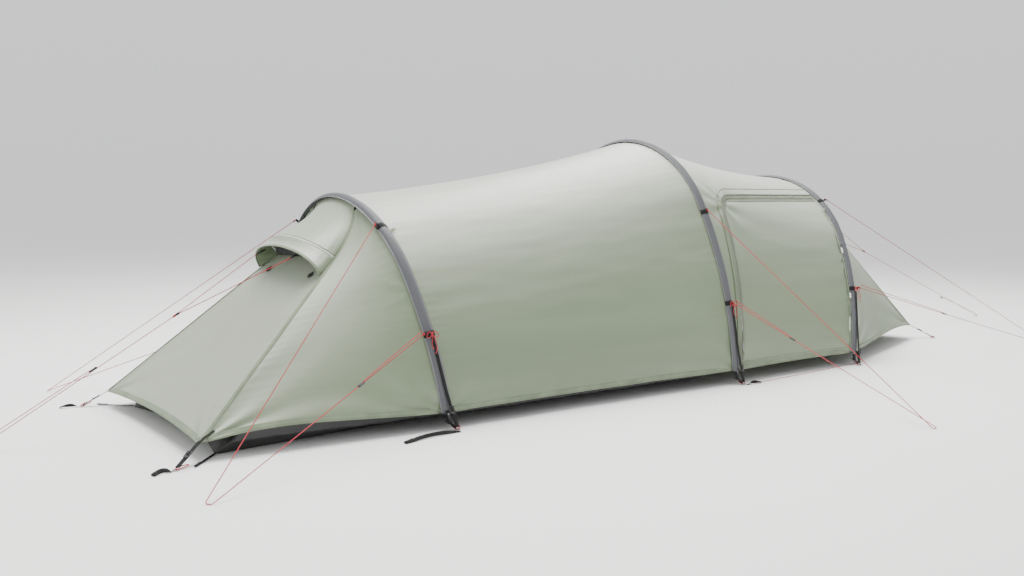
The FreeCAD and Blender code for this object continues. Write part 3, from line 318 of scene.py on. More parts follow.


# FLY is the cloth's colour where it hangs steep; the next colour is the painted top light mixed onto cloth that faces
# up.
FLY = (0.165, 0.210, 0.129)
PAINTED_TOP_LIGHT = (0.385, 0.410, 0.348)
MATERIALS = {
    # Lit and shaded copies of one cloth: the main panels and the hood take the most painted top light, the ends less,
    # and the right end's side panels almost none, as painted shade on that end.
    "fly": ripstop_material("FlyCloth", FLY, 0.38, 0.08, specular=0.6, painted_top_light=PAINTED_TOP_LIGHT),
    "fly_end": ripstop_material("FlyClothEnd", FLY, 0.42, 0.08, specular=0.55, painted_top_light=(0.270, 0.302, 0.232)),
    "fly_shade": ripstop_material("FlyClothShade", FLY, 0.44, 0.08, specular=0.5, painted_top_light=(0.165, 0.205, 0.130)),
    "hood": ripstop_material("HoodCloth", FLY, 0.42, 0.08, specular=0.55, painted_top_light=PAINTED_TOP_LIGHT),
    "sleeve": ripstop_material("SleeveCloth", (0.084, 0.086, 0.095), 0.55, 0.06, 0.004, 0.08, (0.2, 0.18, 0.15), 0.1),
    "sleeve_edge": stitched_material("SleeveEdge", (0.19, 0.195, 0.20), (0.06, 0.06, 0.06), 0.7, (0.5,), 0.004),
    "seam": stitched_material("SeamFold", (0.175, 0.215, 0.138), (0.11, 0.13, 0.09), 0.55),
    "hem": stitched_material("HemFold", (0.165, 0.205, 0.132), (0.10, 0.12, 0.085), 0.55, (0.2, 0.8), 0.0042, 0.022),
    "binding": stitched_material("DarkBinding", (0.035, 0.037, 0.037), (0.10, 0.10, 0.10), 0.7, (0.5,), 0.004),
    "line": stitched_material("DarkLine", (0.10, 0.115, 0.085), (0.05, 0.055, 0.045), 0.7, (0.5,), 0.004, 0.006),
    "piping": stitched_material("PalePiping", (0.50, 0.52, 0.47), (0.45, 0.45, 0.42), 0.6, (0.5,), 0.004, 0.01),
    "inner": ripstop_material("InnerCloth", (0.72, 0.69, 0.60), 0.7, 0.2, 0.005, 0.05, (0.5, 0.46, 0.38), 0.2),
    "ground": ripstop_material("GroundCloth", (0.016, 0.017, 0.018), 0.40, 0.0, 0.005, 0.15, (0.11, 0.095, 0.07), 0.05,
                               0.0022, 0.5),
    "webbing": webbing_material("BlackWebbing", (0.006, 0.006, 0.006)),
    "tab": webbing_material("GreenTab", (0.16, 0.21, 0.13)),
    "guy": braid_material("RedBraid", (0.42, 0.012, 0.026), (0.52, 0.07, 0.09)),
    "black_cord": braid_material("BlackBraid", (0.02, 0.02, 0.02), (0.12, 0.12, 0.12)),
    "plastic": moulded_material("BlackPlastic", (0.020, 0.020, 0.021), 0.42),
    "pale_plastic": moulded_material("PalePlastic", (0.78, 0.77, 0.72), 0.4),
    "pole": brushed_material("PoleAlloy", (0.62, 0.63, 0.66), 0.32),
    "ring": brushed_material("RingSteel", (0.60, 0.60, 0.60), 0.35),
    "zip": stitched_material("ZipTape", (0.17, 0.195, 0.14), (0.09, 0.10, 0.075), 0.7),
    "teeth": moulded_material("ZipTeeth", (0.15, 0.168, 0.125), 0.38),
    "slider": brushed_material("ZipSlider", (0.42, 0.42, 0.42), 0.4),
    "netting": mesh_material("VentNetting", (0.03, 0.03, 0.032)),
    "hook": moulded_material("HookPatch", (0.012, 0.012, 0.012), 0.95, 420.0, 0.0009),
}


# ---------------------------------------------------------------- mesh helpers
def link(mesh, name, key, body=TENT, nodes=()):
    """A piece from a mesh: its material, its body, and the solids it stands for, which are hidden."""
    piece = bpy.data.objects.new(name, mesh)
    bpy.context.scene.collection.objects.link(piece)
    piece.data.materials.append(MATERIALS[key])
    if body:
        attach(piece, body)
    if nodes:
        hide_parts(*nodes)
    return piece


def new_mesh(name, points, faces, coordinates=None):
    """A smooth mesh; coordinates are metres of cloth for each point, kept as the weave's own map."""
    mesh = bpy.data.meshes.new(name)
    mesh.from_pydata([tuple(p) for p in points], [], faces)
    if coordinates is not None:
        layer = mesh.uv_layers.new(name=UV_NAME)
        for loop in mesh.loops:
            layer.data[loop.index].uv = coordinates[loop.vertex_index]
    mesh.shade_smooth()
    mesh.validate()
    return mesh


def thicken(piece, thickness, offset=-1.0):
    """Cloth thickness, below the surface unless the offset says otherwise."""
    shell = piece.modifiers.new("Thickness", "SOLIDIFY")
    shell.thickness = thickness
    shell.offset = offset
    return piece


def grid_faces(rows, columns, closed=False):
    faces = []
    for i in range(rows - 1):
        for j in range(columns if closed else columns - 1):
            k = (j + 1) % columns
            faces.append((i * columns + j, i * columns + k, (i + 1) * columns + k, (i + 1) * columns + j))
    return faces


def smooth_step(value):
    value = max(0.0, min(1.0, value))
    return value * value * (3 - 2 * value)


class Cloth:
    """A dense grid over a surface, with the flat lengths of its two directions and small folds pressed into it."""

    def __init__(self, surface, rows, columns, outward):
        self.rows, self.columns = rows, columns
        self.base = np.array([[surface(i / (rows - 1), j / (columns - 1)) for j in range(columns)]
                              for i in range(rows)], float)
        down = np.linalg.norm(np.diff(self.base, axis=0), axis=2)
        side = np.linalg.norm(np.diff(self.base, axis=1), axis=2)
        self.tall = float(down.sum(0).mean())
        self.wide = float(side.sum(1).mean())
        self.flat = (float(side.sum(1).max()), float(down.sum(0).max()))
        normals = np.cross(np.gradient(self.base, axis=0), np.gradient(self.base, axis=1))
        lengths = np.linalg.norm(normals, axis=2, keepdims=True)
        normals = normals / np.maximum(lengths, 1e-12)
        middle = normals[rows // 2, columns // 2]
        self.flipped = float(middle @ (self.base[rows // 2, columns // 2] - np.array(outward))) < 0
        self.normals = -normals if self.flipped else normals
        cells = np.linalg.norm(np.cross(self.base[1:, :-1] - self.base[:-1, :-1],
                                        self.base[:-1, 1:] - self.base[:-1, :-1]), axis=2)
        self.area = float(cells.sum())
        self.points = self.base.copy()

    def press(self, fold):
        """Moves each point along the normal by fold(a, b, u, v), with u and v in metres."""
        for i in range(self.rows):
            a = i / (self.rows - 1)
            for j in range(self.columns):
                b = j / (self.columns - 1)
                rise = fold(a, b, a * self.tall, b * self.wide)
                self.points[i, j] = self.base[i, j] + self.normals[i, j] * rise
        return self

    def at(self, a, b, lift=0.0):
        """Point at a share of each direction, on the folded cloth."""
        i = max(0.0, min(self.rows - 1.0001, a * (self.rows - 1)))
        j = max(0.0, min(self.columns - 1.0001, b * (self.columns - 1)))
        i0, j0 = int(i), int(j)
        s, t = i - i0, j - j0
        corners = [((1 - s) * (1 - t), i0, j0), (s * (1 - t), i0 + 1, j0), ((1 - s) * t, i0, j0 + 1),
                   (s * t, i0 + 1, j0 + 1)]
        spot = sum(w * self.points[x, y] for w, x, y in corners)
        normal = sum(w * self.normals[x, y] for w, x, y in corners)
        return Vector(spot + normal * lift / max(np.linalg.norm(normal), 1e-9))

    def mesh(self, name):
        points = self.points.reshape(-1, 3)
        flat = [(i / (self.rows - 1) * self.tall, j / (self.columns - 1) * self.wide)
                for i in range(self.rows) for j in range(self.columns)]
        faces = grid_faces(self.rows, self.columns)
        faces = faces if self.flipped else [face[::-1] for face in faces]
        return new_mesh(name, points, faces, flat)

    def piece(self, name, key, slot, nodes, thickness=FLY_THICK):
        return thicken(link(self.mesh(name), name, key, TENT, nodes), thickness)


def folds(seed, streak=0.0016, pucker=0.0012, pleat=0.034, edges=("a0", "a1"), pinned=(), anchors=(), size=(1, 1),
          hem_wave=0.0, hem=("b0", "b1"), calm=0.02):
    """A fold function: long streaks, puckers beside sewn edges, creases that fan out from pulled points.

    pinned edges keep their line; anchors are (a, b, reach, depth, count) with a and b as shares.
    """
    tall, wide = size

    def fold(a, b, u, v):
        away = {"a0": u, "a1": tall - u, "b0": v, "b1": wide - v}
        rise = streak * noise.noise(Vector((u * 1.6, v * 8.0, seed)))
        rise += 0.5 * streak * noise.noise(Vector((u * 5.0, v * 21.0, seed + 3)))
        for edge in edges:
            run = v if edge[0] == "a" else u
            wander = 3.0 * noise.noise(Vector((run * 7.0, seed, 1.5)))
            strength = 0.6 + 0.6 * noise.noise(Vector((run * 3.0, seed, 4.5)))
            rise += pucker * strength * math.exp(-away[edge] / 0.07) * math.sin(2 * math.pi * run / pleat + wander)
        for spot_a, spot_b, reach, depth, count in anchors:
            du, dv = u - spot_a * tall, v - spot_b * wide
            distance = math.hypot(du, dv)
            if distance < reach * 3.5:
                angle = math.atan2(dv, du) + 0.5 * noise.noise(Vector((du * 4, dv * 4, seed)))
                fan = math.exp(-distance / reach) * smooth_step(distance / 0.05)
                rise += depth * fan * math.sin(count * angle + seed)
        for edge in hem:
            run = v if edge[0] == "a" else u
            rise += hem_wave * math.exp(-away[edge] / 0.10) * noise.noise(Vector((run * 4.2, seed, 9.0)))
        for edge in pinned:
            rise *= smooth_step(away[edge] / calm)
        return rise

    return fold


RIBBON_PROFILE = [(-0.5, -0.14), (-0.46, -0.5), (0, -0.5), (0.46, -0.5), (0.5, -0.14),
                  (0.5, 0.14), (0.46, 0.5), (0, 0.5), (-0.46, 0.5), (-0.5, 0.14)]


def capped_tube(name, rings, flat):
    """A closed skin over rings of points, with flat ends; flat holds each point's place on the cloth."""
    count = len(rings[0])
    last = (len(rings) - 1) * count
    faces = grid_faces(len(rings), count, True)
    faces += [tuple(range(count - 1, -1, -1)), tuple(range(last, last + count))]
    return new_mesh(name, [p for ring in rings for p in ring], faces, flat)


def ribbon_mesh(name, centres, sides, width, thick, outs=None):
    """A flat band along a line: sides point across it, outs away from what it lies on."""
    rings, flat = [], []
    run = 0.0
    for index, centre in enumerate(centres):
        before = centres[max(index - 1, 0)]
        after = centres[min(index + 1, len(centres) - 1)]
        if index:
            run += (centre - before).length
        ahead = (after - before).normalized()
        side = sides[index] if isinstance(sides, list) else sides
        side = (side - ahead * side.dot(ahead)).normalized()
        out = ahead.cross(side).normalized()
        wanted = None if outs is None else (outs[index] if isinstance(outs, list) else outs)
        if wanted is not None and out.dot(wanted) < 0:
            out = -out
        rings.append([centre + side * across * width + out * lift * thick for across, lift in RIBBON_PROFILE])
        flat += [((across + 0.5) * width, run) for across, _ in RIBBON_PROFILE]
    return capped_tube(name, rings, flat)


def round_path(controls, count=24):
    """A smooth line through the control points, evenly sampled between them."""
    controls = [Vector(c) for c in controls]
    line = []
    for index in range(len(controls) - 1):
        start, finish = controls[index], controls[index + 1]
        before = controls[index - 1] if index else start * 2 - finish
        after = controls[index + 2] if index + 2 < len(controls) else finish * 2 - start
        first = start + (finish - before) / 6
        second = finish - (after - start) / 6
        part = interpolate_bezier(start, first, second, finish, count)
        line += part if index == 0 else part[1:]
    return line


def strip_on(cloth, name, path, shape, key, count=60, body=TENT):
    """A stitched strip on a cloth along shares given by path(t); shape is its width, lift and thickness."""
    width, lift, thick = shape
    centres, sides, outs = [], [], []
    for index in range(count + 1):
        t = index / count
        a, b = path(t)
        spot = cloth.at(a, b, lift)
        a2, b2 = path(min(1.0, t + 0.01))
        a1, b1 = path(max(0.0, t - 0.01))
        ahead = cloth.at(a2, b2, lift) - cloth.at(a1, b1, lift)
        out = (cloth.at(a, b, lift + 0.01) - spot).normalized()
        centres.append(spot)
        sides.append(ahead.cross(out).normalized())
        outs.append(out)
    return link(ribbon_mesh(name, centres, sides, width, thick, outs), name, key, body)


def tube_mesh(name, line, radius, count=8):
    """A round tube along a line, closed at both ends."""
    rings, flat = [], []
    run = 0.0
    side = None
    for index, centre in enumerate(line):
        before, after = line[max(index - 1, 0)], line[min(index + 1, len(line) - 1)]
        ahead = (after - before).normalized()
        if index:
            run += (centre - line[index - 1]).length
        if side is None:
            side = ahead.orthogonal().normalized()
        side = (side - ahead * side.dot(ahead)).normalized()
        other = ahead.cross(side)
        angles = [2 * math.pi * k / count for k in range(count)]
        rings.append([centre + (side * math.cos(angle) + other * math.sin(angle)) * radius for angle in angles])
        flat += [(angle * radius, run) for angle in angles]
    return capped_tube(name, rings, flat)


def join_meshes(name, meshes):
    """One mesh from several, with their weave maps."""
    points, faces, flat = [], [], []
    for mesh in meshes:
        base = len(points)
        points += [v.co.copy() for v in mesh.vertices]
        own = [(0.0, 0.0)] * len(mesh.vertices)
        if mesh.uv_layers:
            layer = mesh.uv_layers[0]
            for loop in mesh.loops:
                own[loop.vertex_index] = tuple(layer.data[loop.index].uv)
        flat += own
        faces += [tuple(base + k for k in polygon.vertices) for polygon in mesh.polygons]
    return new_mesh(name, points, faces, flat)


def joined(name, meshes, key, nodes=(), body=TENT):
    """One piece from several meshes."""
    return link(join_meshes(name, meshes), name, key, body, nodes)


def block_mesh(size, bevel, cut=2):
    """A small box with rounded edges, centred on the origin."""
    shape = bmesh.new()
    bmesh.ops.create_cube(shape, size=1.0)
    bmesh.ops.scale(shape, vec=Vector(size), verts=shape.verts)
    bmesh.ops.bevel(shape, geom=shape.edges[:], offset=bevel, segments=cut, affect="EDGES", profile=0.6)
    mesh = bpy.data.meshes.new("block")
    shape.to_mesh(mesh)
    shape.free()
    return mesh


def moved(mesh, matrix):
    """A copy of a mesh, moved."""
    copy = mesh.copy()
    copy.transform(matrix)
    return copy


def axes_matrix(spot, across, out, along):
    """Matrix with X, Y and Z along three directions, at a spot."""
    columns = [Vector(d).normalized() for d in (across, out, along)]
    turn = Matrix((columns[0], columns[1], columns[2])).transposed()
    return Matrix.Translation(spot) @ turn.to_4x4()


# ---------------------------------------------------------------- the tent's own geometry, as in the frame
HEM = 0.060
SEAM_GAP = 0.0015
SIDE_HEM_ARCH = 0.024
ROOF_SAG = 0.034
WALL_SAG = 0.3
POLE_LIFT = 0.0085
INSIDE = Vector((0, 0, 0.3))


class Hoop:
    """A three-centred arch in a leaning plane; along runs -1 (front foot) to 1 (back foot)."""

    def __init__(self, place, half, rise, crown, lean):
        self.place, self.half, self.rise, self.crown = place, half, rise, crown
        self.lean = math.radians(lean)
        gap = half - crown
        self.side = (half ** 2 + rise ** 2 - 2 * rise * crown) / (2 * gap)
        self.turn = math.atan2(rise - crown, self.side - half)
        self.across = Vector((math.cos(self.lean), 0, -math.sin(self.lean)))

    def length(self, lift=0.0):
        return 2 * ((self.side + lift) * self.turn + (self.crown + lift) * (math.pi / 2 - self.turn))

    def point(self, along, lift=0.0, shift=0.0):
        """Point on the arch; shift runs along X."""
        side, crown = self.side + lift, self.crown + lift
        run = (1 - abs(along)) * self.length(lift) / 2
        if run <= side * self.turn:
            angle = run / side
            out, up = self.half - self.side + side * math.cos(angle), side * math.sin(angle)
        else:
            angle = self.turn + (run - side * self.turn) / crown
            out, up = crown * math.cos(angle), self.rise - self.crown + crown * math.sin(angle)
        out = math.copysign(out, along) if along else 0.0
        return Vector((self.place + shift + up * math.sin(self.lean), out, up * math.cos(self.lean)))

    def along_at(self, height, side=-1, lift=0.0):
        low, high = 0.0, 1.0
        for _ in range(40):
            middle = (low + high) / 2
            if self.point(side * middle, lift).z > height:
                low = middle
            else:
                high = middle
        return side * (low + high) / 2

    def axes(self, along):
        """Directions across the sleeve, away from the cloth and along the arch."""
        ahead = (self.point(along + 0.002) - self.point(along - 0.002)).normalized()
        out = ahead.cross(self.across).normalized()
        if out.dot(self.point(along) - Vector((self.place, 0, 0.3))) < 0:
            out = -out
        return self.across, out, ahead

    def on(self, along, across, lift):
        """Point beside the arch's line: across in the hoop's own plane of shear, lift away from the cloth."""
        return self.point(along, lift) + self.across * across


HOOPS = {1: Hoop(-1.280, 0.615, 0.842, 0.544, -8.9), 2: Hoop(0.215, 0.668, 1.100, 0.531, -2.9),
         3: Hoop(1.082, 0.676, 0.954, 0.588, 8.6)}


def mirror_y(point):
    return Vector((point[0], -point[1], point[2]))


def sided(point, side):
    return Vector(point) if side < 0 else mirror_y(point)


def tunnel_point(first, second, part, share):
    """Point on the skin between two hoops; share runs from the front hem (-1) to the back hem (1)."""
    start = first.point(share * first.along_at(HEM, 1), 0, SEAM_GAP)
    finish = second.point(share * second.along_at(HEM, 1), 0, -SEAM_GAP)
    spot = start + (finish - start) * part
    inward = Vector((0, -spot.y, INSIDE.z - spot.z)).normalized()
    weight = WALL_SAG + (1 - WALL_SAG) * (1 - abs(share))
    return spot + inward * (4 * part * (1 - part) * ROOF_SAG * weight)


def porch_at(x, z):
    """Shares (part, share) of the front porch wall at an x and a height."""
    low, high = 0.0, 1.0
    for _ in range(30):
        share = -(low + high) / 2
        near = tunnel_point(HOOPS[2], HOOPS[3], 0, share).x
        far = tunnel_point(HOOPS[2], HOOPS[3], 1, share).x
        part = (x - near) / (far - near)
        if tunnel_point(HOOPS[2], HOOPS[3], part, share).z > z:
            low = -share
        else:
            high = -share
    return part, (share + 1) / 2


def bow_point(left, apex, right, share, power):
    """Point of a brim that rises from its two ends to its apex; share runs -1 to 1."""
    angle = math.pi * (share + 1) / 2
    rise = abs(math.sin(angle)) ** power
    return left + (right - left) * ((1 - math.cos(angle)) / 2) + (apex - (left + right) * 0.5) * rise


class End:
    """The sloping end beyond a hoop, with its hood, and the long seams that run down to its corners."""

    def __init__(self, name, hoop, crown_half, brim_end, brim_apex, seam_end, seam_apex, corner):
        self.name, self.hoop = name, hoop
        self.brim_end, self.brim_apex = Vector(brim_end), Vector(brim_apex)
        self.seam_end, self.seam_apex = Vector(seam_end), Vector(seam_apex)
        self.corner = Vector(corner)
        self.face = math.copysign(1, self.corner.x)
        low, high = 0.0, 1.0
        for _ in range(40):
            middle = (low + high) / 2
            if -hoop.point(-middle).y < crown_half:
                low = middle
            else:
                high = middle
        self.crown_along = low
        self.crown = hoop.point(-low, 0, self.face * SEAM_GAP)
        self.upper = (self.seam_end - self.crown).length
        self.lower = (self.corner - self.seam_end).length

    def seam_point(self, share):
        """Point on the front seam from the crown (0) to the corner (1); it is straight below the hood's end."""
        run = share * (self.upper + self.lower)
        if run >= self.upper:
            return self.seam_end + (self.corner - self.seam_end) * ((run - self.upper) / self.lower)
        return self.upper_seam(run / self.upper)

    def upper_seam(self, part):
        """Point on the front seam between the crown (0) and the hood's end (1)."""
        chord = self.seam_end - self.crown
        pull = (self.corner - self.seam_end) * (self.upper / self.lower)
        return self.crown + (chord * 2 - pull) * part + (pull - chord) * part ** 2

    def top(self, a, b):
        share = 2 * b - 1
        seam = bow_point(self.seam_end, self.seam_apex, mirror_y(self.seam_end), share, 1.0)
        crown = self.hoop.point(share * self.crown_along, 0, self.face * SEAM_GAP)
        spot = crown + (seam - crown) * a
        slip = self.upper_seam(a) - (self.crown + (self.seam_end - self.crown) * a)
        return spot + Vector((slip.x, -share * (slip.y + SEAM_GAP), slip.z))

    def hood(self, a, b):
        share = 2 * b - 1
        seam = bow_point(self.seam_end, self.seam_apex, mirror_y(self.seam_end), share, 1.0)
        brim = bow_point(self.brim_end, self.brim_apex, mirror_y(self.brim_end), share, 0.8)
        droop = Vector((0, 0, -0.006 * math.sin(math.pi * a)))
        return seam + (brim - seam) * (0.01 + 0.99 * a) + droop

    def centre(self, a, b):
        share = 2 * b - 1
        upper = self.seam_end
        edge = upper + (self.corner - upper) * a
        slope = (upper - self.corner).normalized()
        spot = Vector((edge.x, -share * (edge.y + 2 * SEAM_GAP), edge.z))
        arch = 0.022 * (1 - share * share) * a ** 3
        hollow = -0.010 * (1 - share * share) * math.sin(math.pi * a)
        return spot + Vector((slope.x, 0, slope.z)) * arch + Vector((self.face * hollow, 0, hollow))

    def side(self, a, b, side):
        share = 0.03 + 0.97 * a
        hem = self.hoop.along_at(HEM, 1)
        along = self.crown_along + (hem - self.crown_along) * share
        arch = self.hoop.point(side * along, 0, self.face * SEAM_GAP)
        seam = self.seam_point(share)
        seam = seam if side < 0 else mirror_y(seam)
        run = arch - seam
        seam = seam + run * (SEAM_GAP / run.length)
        spot = arch + (seam - arch) * b
        sag = 0.012 * math.sin(math.pi * b) * (1 - a) * a * 4
        lift = SIDE_HEM_ARCH * share ** 3 * math.sin(math.pi * b ** 1.6)
        return spot + Vector((0, -side * sag, lift - sag * 0.4))


ENDS = {"left": End("left", HOOPS[1], 0.165, (-1.613, -0.275, 0.546), (-1.665, 0, 0.646), (-1.540, -0.248, 0.602),
                    (-1.636, 0, 0.681), (-2.156, -0.522, 0.060)),
        "right": End("right", HOOPS[3], 0.170, (1.540, -0.221, 0.646), (1.610, 0, 0.745), (1.480, -0.212, 0.700),
                     (1.560, 0, 0.785), (2.190, -0.325, 0.078))}


# ---------------------------------------------------------------- cords
GUY = 0.003
BAND_HEIGHTS = {1: (0.725, 0.345), 2: (0.770, 0.365), 3: (0.815, 0.377)}
STAKES = {1: ((-2.280, -0.955), (-2.280, 0.990)), 2: ((0.120, -1.660), (0.120, 1.660)),
          3: ((2.500, -0.990), (2.500, 0.990))}
RUNNER_SHARE = {1: 0.36, 2: 0.34, 3: 0.42}
STAKE_Z = 0.002
LOOP_HALF = 0.012
END_LINES = {"left": ((-1.672, 0.158, 0.606), (-2.039, 0, 0.410), (-2.331, 0, 0.239), (-2.720, 0, 0.002)),
             "right": ((1.640, 0.135, 0.688), (2.183, 0, 0.505), (3.118, 0, 0.160), (3.600, 0, 0.002))}
BASE_CORD = 0.0024
SIDES = ((-1, "front"), (1, "back"))


def nurbs(name, points, diameter):
    """A cord on one smooth curve, with the route's points as its control points."""
    data = bpy.data.curves.new(name, "CURVE")
    data.dimensions = "3D"
    data.bevel_depth = diameter / 2
    data.bevel_resolution = 4
    data.resolution_u = 24
    data.use_fill_caps = True
    spline = data.splines.new("NURBS")
    spline.points.add(len(points) - 1)
    for knot, spot in zip(spline.points, points):
        knot.co = (spot[0], spot[1], spot[2], 1.0)
    spline.order_u = 3
    spline.use_endpoint_u = True
    cord = bpy.data.objects.new(name, data)
    bpy.context.scene.collection.objects.link(cord)
    data.materials.append(MATERIALS["guy"])
    return cord


def tied_cord(name, points, node, diameter=GUY):
    """A cord pegged out with the tent, in place of its node."""
    cord = nurbs(name, points, diameter)
    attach(cord, TENT)
    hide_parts(node)
    return cord


def curve_line(cord):
    """The points of a cord's own line, from its curve with no bevel."""
    depth = cord.data.bevel_depth
    cord.data.bevel_depth = 0.0
    bpy.context.view_layer.update()
    graph = bpy.context.evaluated_depsgraph_get()
    mesh = bpy.data.meshes.new_from_object(cord.evaluated_get(graph))
    line = [v.co.copy() for v in mesh.vertices]
    bpy.data.meshes.remove(mesh)
    cord.data.bevel_depth = depth
    return line


def guy_anchor(hoop, height, side, stake):
    along = hoop.along_at(height, side, POLE_LIFT)
    shift = math.copysign(0.0236, stake.x - hoop.place)
    if abs(stake.x - hoop.place) < 0.15:
        shift = 0.0
    return hoop.point(along, 0.019, shift)


def guy_route(number, side):
    hoop = HOOPS[number]
    x, y = STAKES[number][0 if side < 0 else 1]
    stake = Vector((x, y, STAKE_Z))
    upper, lower = [guy_anchor(hoop, height, side, stake) for height in BAND_HEIGHTS[number]]
    cross = Z_AXIS.cross(stake - (upper + lower) * 0.5).normalized()
    if cross.dot(upper - lower) < 0:
        cross = -cross
    return [upper, stake + cross * LOOP_HALF, stake - cross * LOOP_HALF, lower]


def coil_mesh(name, spot, direction, core, strand, turns):
    """A short coil of cord around a line, as a knot's wraps."""
    direction = Vector(direction).normalized()
    side = direction.orthogonal().normalized()
    other = direction.cross(side)
    line = []
    steps = int(turns * 14)
    for k in range(steps + 1):
        angle = 2 * math.pi * turns * k / steps
        slide = (k / steps - 0.5) * turns * strand * 2.1
        line.append(Vector(spot) + direction * slide + (side * math.cos(angle) + other * math.sin(angle)) * core)
    return tube_mesh(name, line, strand, 6)


def runner_mesh(name, spot, direction):
    """A flat slider with three rimmed holes and a waisted body."""
    direction = Vector(direction).normalized()
    flat = direction.cross(Z_AXIS).normalized()
    out = direction.cross(flat).normalized()
    matrix = axes_matrix(spot, flat, out, direction)
    outline = [(-0.015, 0.0042), (-0.0125, 0.0056), (-0.008, 0.0058), (-0.003, 0.0046), (0.003, 0.0046),
               (0.008, 0.0058), (0.0125, 0.0056), (0.015, 0.0042)]
    ring = [(x, z) for z, x in outline] + [(-x, z) for z, x in reversed(outline)]
    points = []
    levels = [(-0.0024, 0.88), (-0.0017, 1.0), (0.0017, 1.0), (0.0024, 0.88)]
    for level, grow in levels:
        points += [Vector((x * grow, level, z * (0.97 + 0.03 * grow))) for x, z in ring]
    faces = grid_faces(len(levels), len(ring), True)
    faces += [tuple(range(len(ring) - 1, -1, -1)), tuple(range(3 * len(ring), 4 * len(ring)))]
    parts = [moved(new_mesh(name, points, faces, [(p.x, p.z) for p in points]), matrix)]
    turns = [k * math.pi / 8 for k in range(17)]
    for slide in (-0.0105, 0.0, 0.0105):
        for lift in (0.0025, -0.0025):
            loop = [matrix @ Vector((0.0027 * math.cos(t), lift, slide + 0.0027 * math.sin(t))) for t in turns]
            parts.append(tube_mesh(name, loop, 0.0008, 6))
    return join_meshes(name, parts)


def second_strand(name, start, finish, offset):
    """The doubled part of a line, beside it from its band to its runner."""
    run = finish - start
    route = [start + offset * 2.6, start + run * 0.03 + offset * 2.6, start + run * 0.5 + offset * 1.8,
             start + run * 0.97 + offset, finish + offset * 0.5]
    guide = nurbs(name + "_line", route, GUY)
    line = curve_line(guide)
    bpy.data.objects.remove(guide)
    mesh = tube_mesh(name, line, GUY / 2, 8)
    piece = link(mesh, name, "guy", None)
    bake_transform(piece)


def add_hoop_guys():
    for number in (1, 2, 3):
        for side, word in SIDES:
            route = guy_route(number, side)
            upper, far, near, lower = route
            first = far + (upper - far).normalized() * 0.018
            second = near + (lower - near).normalized() * 0.018
            name = "guy_%d_%s" % (number, word)
            cord = tied_cord(name, [upper, first, far, near, second, lower], "hoop_%d_guy_%s" % (number, word))
            spot = lower + (near - lower) * RUNNER_SHARE[number]
            body = "runner_%d_%s_body" % (number, word)
            link(runner_mesh(name + "_runner", spot, near - lower), name + "_runner", "plastic", body,
                 ["runner_%d_%s" % (number, word)])
            ahead_up = (far - upper).normalized()
            ahead_low = (near - lower).normalized()
            knots = [coil_mesh("k", upper + ahead_up * 0.010, ahead_up, 0.0026, 0.0014, 3),
                     coil_mesh("k", lower + ahead_low * 0.010, ahead_low, 0.0030, 0.0014, 3)]
            knot = joined(name + "_knots", knots, "guy")
            offset = (Z_AXIS - ahead_low * ahead_low.z).normalized() * 0.0056
            second_strand(name + "_double", lower + ahead_low * 0.018, spot - ahead_low * 0.004, offset)


def add_end_guys():
    for name, (tab, junction, runner, stake) in END_LINES.items():
        tab, junction, runner, stake = [Vector(p) for p in (tab, junction, runner, stake)]
        step = Vector((0, 0.010, 0))
        bridle = tied_cord("bridle_" + name, [mirror_y(tab), junction - step, junction + step, tab],
                           name + "_end_bridle")
        run = (stake - junction).normalized()
        start = junction + run * 0.006
        line = tied_cord("end_guy_" + name, [start, start + run * 0.3, stake], name + "_end_guy")
        body = "runner_%s_end_body" % name
        link(runner_mesh("end_runner_" + name, runner, run), "end_runner_" + name, "plastic", body,
             ["runner_%s_end" % name])
        wraps = [coil_mesh("k", junction + run * 0.012, run, 0.0031, 0.0014, 4),
                 coil_mesh("k", stake - run * 0.012, run, 0.0030, 0.0014, 3)]
        knot = joined("end_knots_" + name, wraps, "guy")
        toggle = link(moved(block_mesh((0.010, 0.008, 0.014), 0.0025), axes_matrix(
            junction - run * 0.001, Vector((0, 1, 0)), run.cross(Vector((0, 1, 0))), run)), "bridle_clip_" + name,
            "plastic")
        offset = (Z_AXIS - run * run.z).normalized() * 0.0046
        second_strand("end_guy_double_" + name, stake - run * 0.030, runner + run * 0.004, offset)


def add_base_cords():
    for side, word in SIDES:
        route = [(0.290, side * 0.706, 0.002), (0.560, side * 0.700, 0.002), (0.860, side * 0.681, 0.002),
                 (1.150, side * 0.668, 0.002)]
        cord = tied_cord("base_cord_%s_line" % word, route, "base_cord_" + word, BASE_CORD)


# ---------------------------------------------------------------- flysheet
def ab_path(points):
    """A path function through a list of (a, b) shares."""
    def path(t):
        spot = t * (len(points) - 1)
        index = min(int(spot), len(points) - 2)
        part = spot - index
        (a0, b0), (a1, b1) = points[index], points[index + 1]
        return a0 + (a1 - a0) * part, b0 + (b1 - b0) * part
    return path


def fold_for(cloth, seed, **options):
    return folds(seed, size=(cloth.tall, cloth.wide), **options)


HEM_INSET = 0.012
HEM_STRIP = (0.022, 0.0004, 0.0012)
ZIP_STRIP = (0.012, 0.0012, 0.0010)
PULLED_CORNERS = ((0, 0), (1, 0), (0, 1), (1, 1))


def add_main_panel():
    cloth = Cloth(lambda a, b: tunnel_point(HOOPS[1], HOOPS[2], a, 2 * b - 1), 90, 260, INSIDE)
    corners = [(0, 0, 0.16, 0.0045, 9), (1, 0, 0.20, 0.0045, 9), (0, 1, 0.16, 0.0045, 9), (1, 1, 0.20, 0.0045, 9)]
    cloth.press(fold_for(cloth, 1.0, streak=0.0020, pucker=0.0011, anchors=corners, hem_wave=0.005))
    piece = cloth.piece("fly_main", "fly", "fly_cloth", ["fly_main_panel"])
    inset = HEM_INSET / cloth.wide
    for share, word in ((inset, "front"), (1 - inset, "back")):
        strip_on(cloth, "main_hem_" + word, lambda t, s=share: (0.014 + 0.972 * t, s), HEM_STRIP, "hem", count=110)


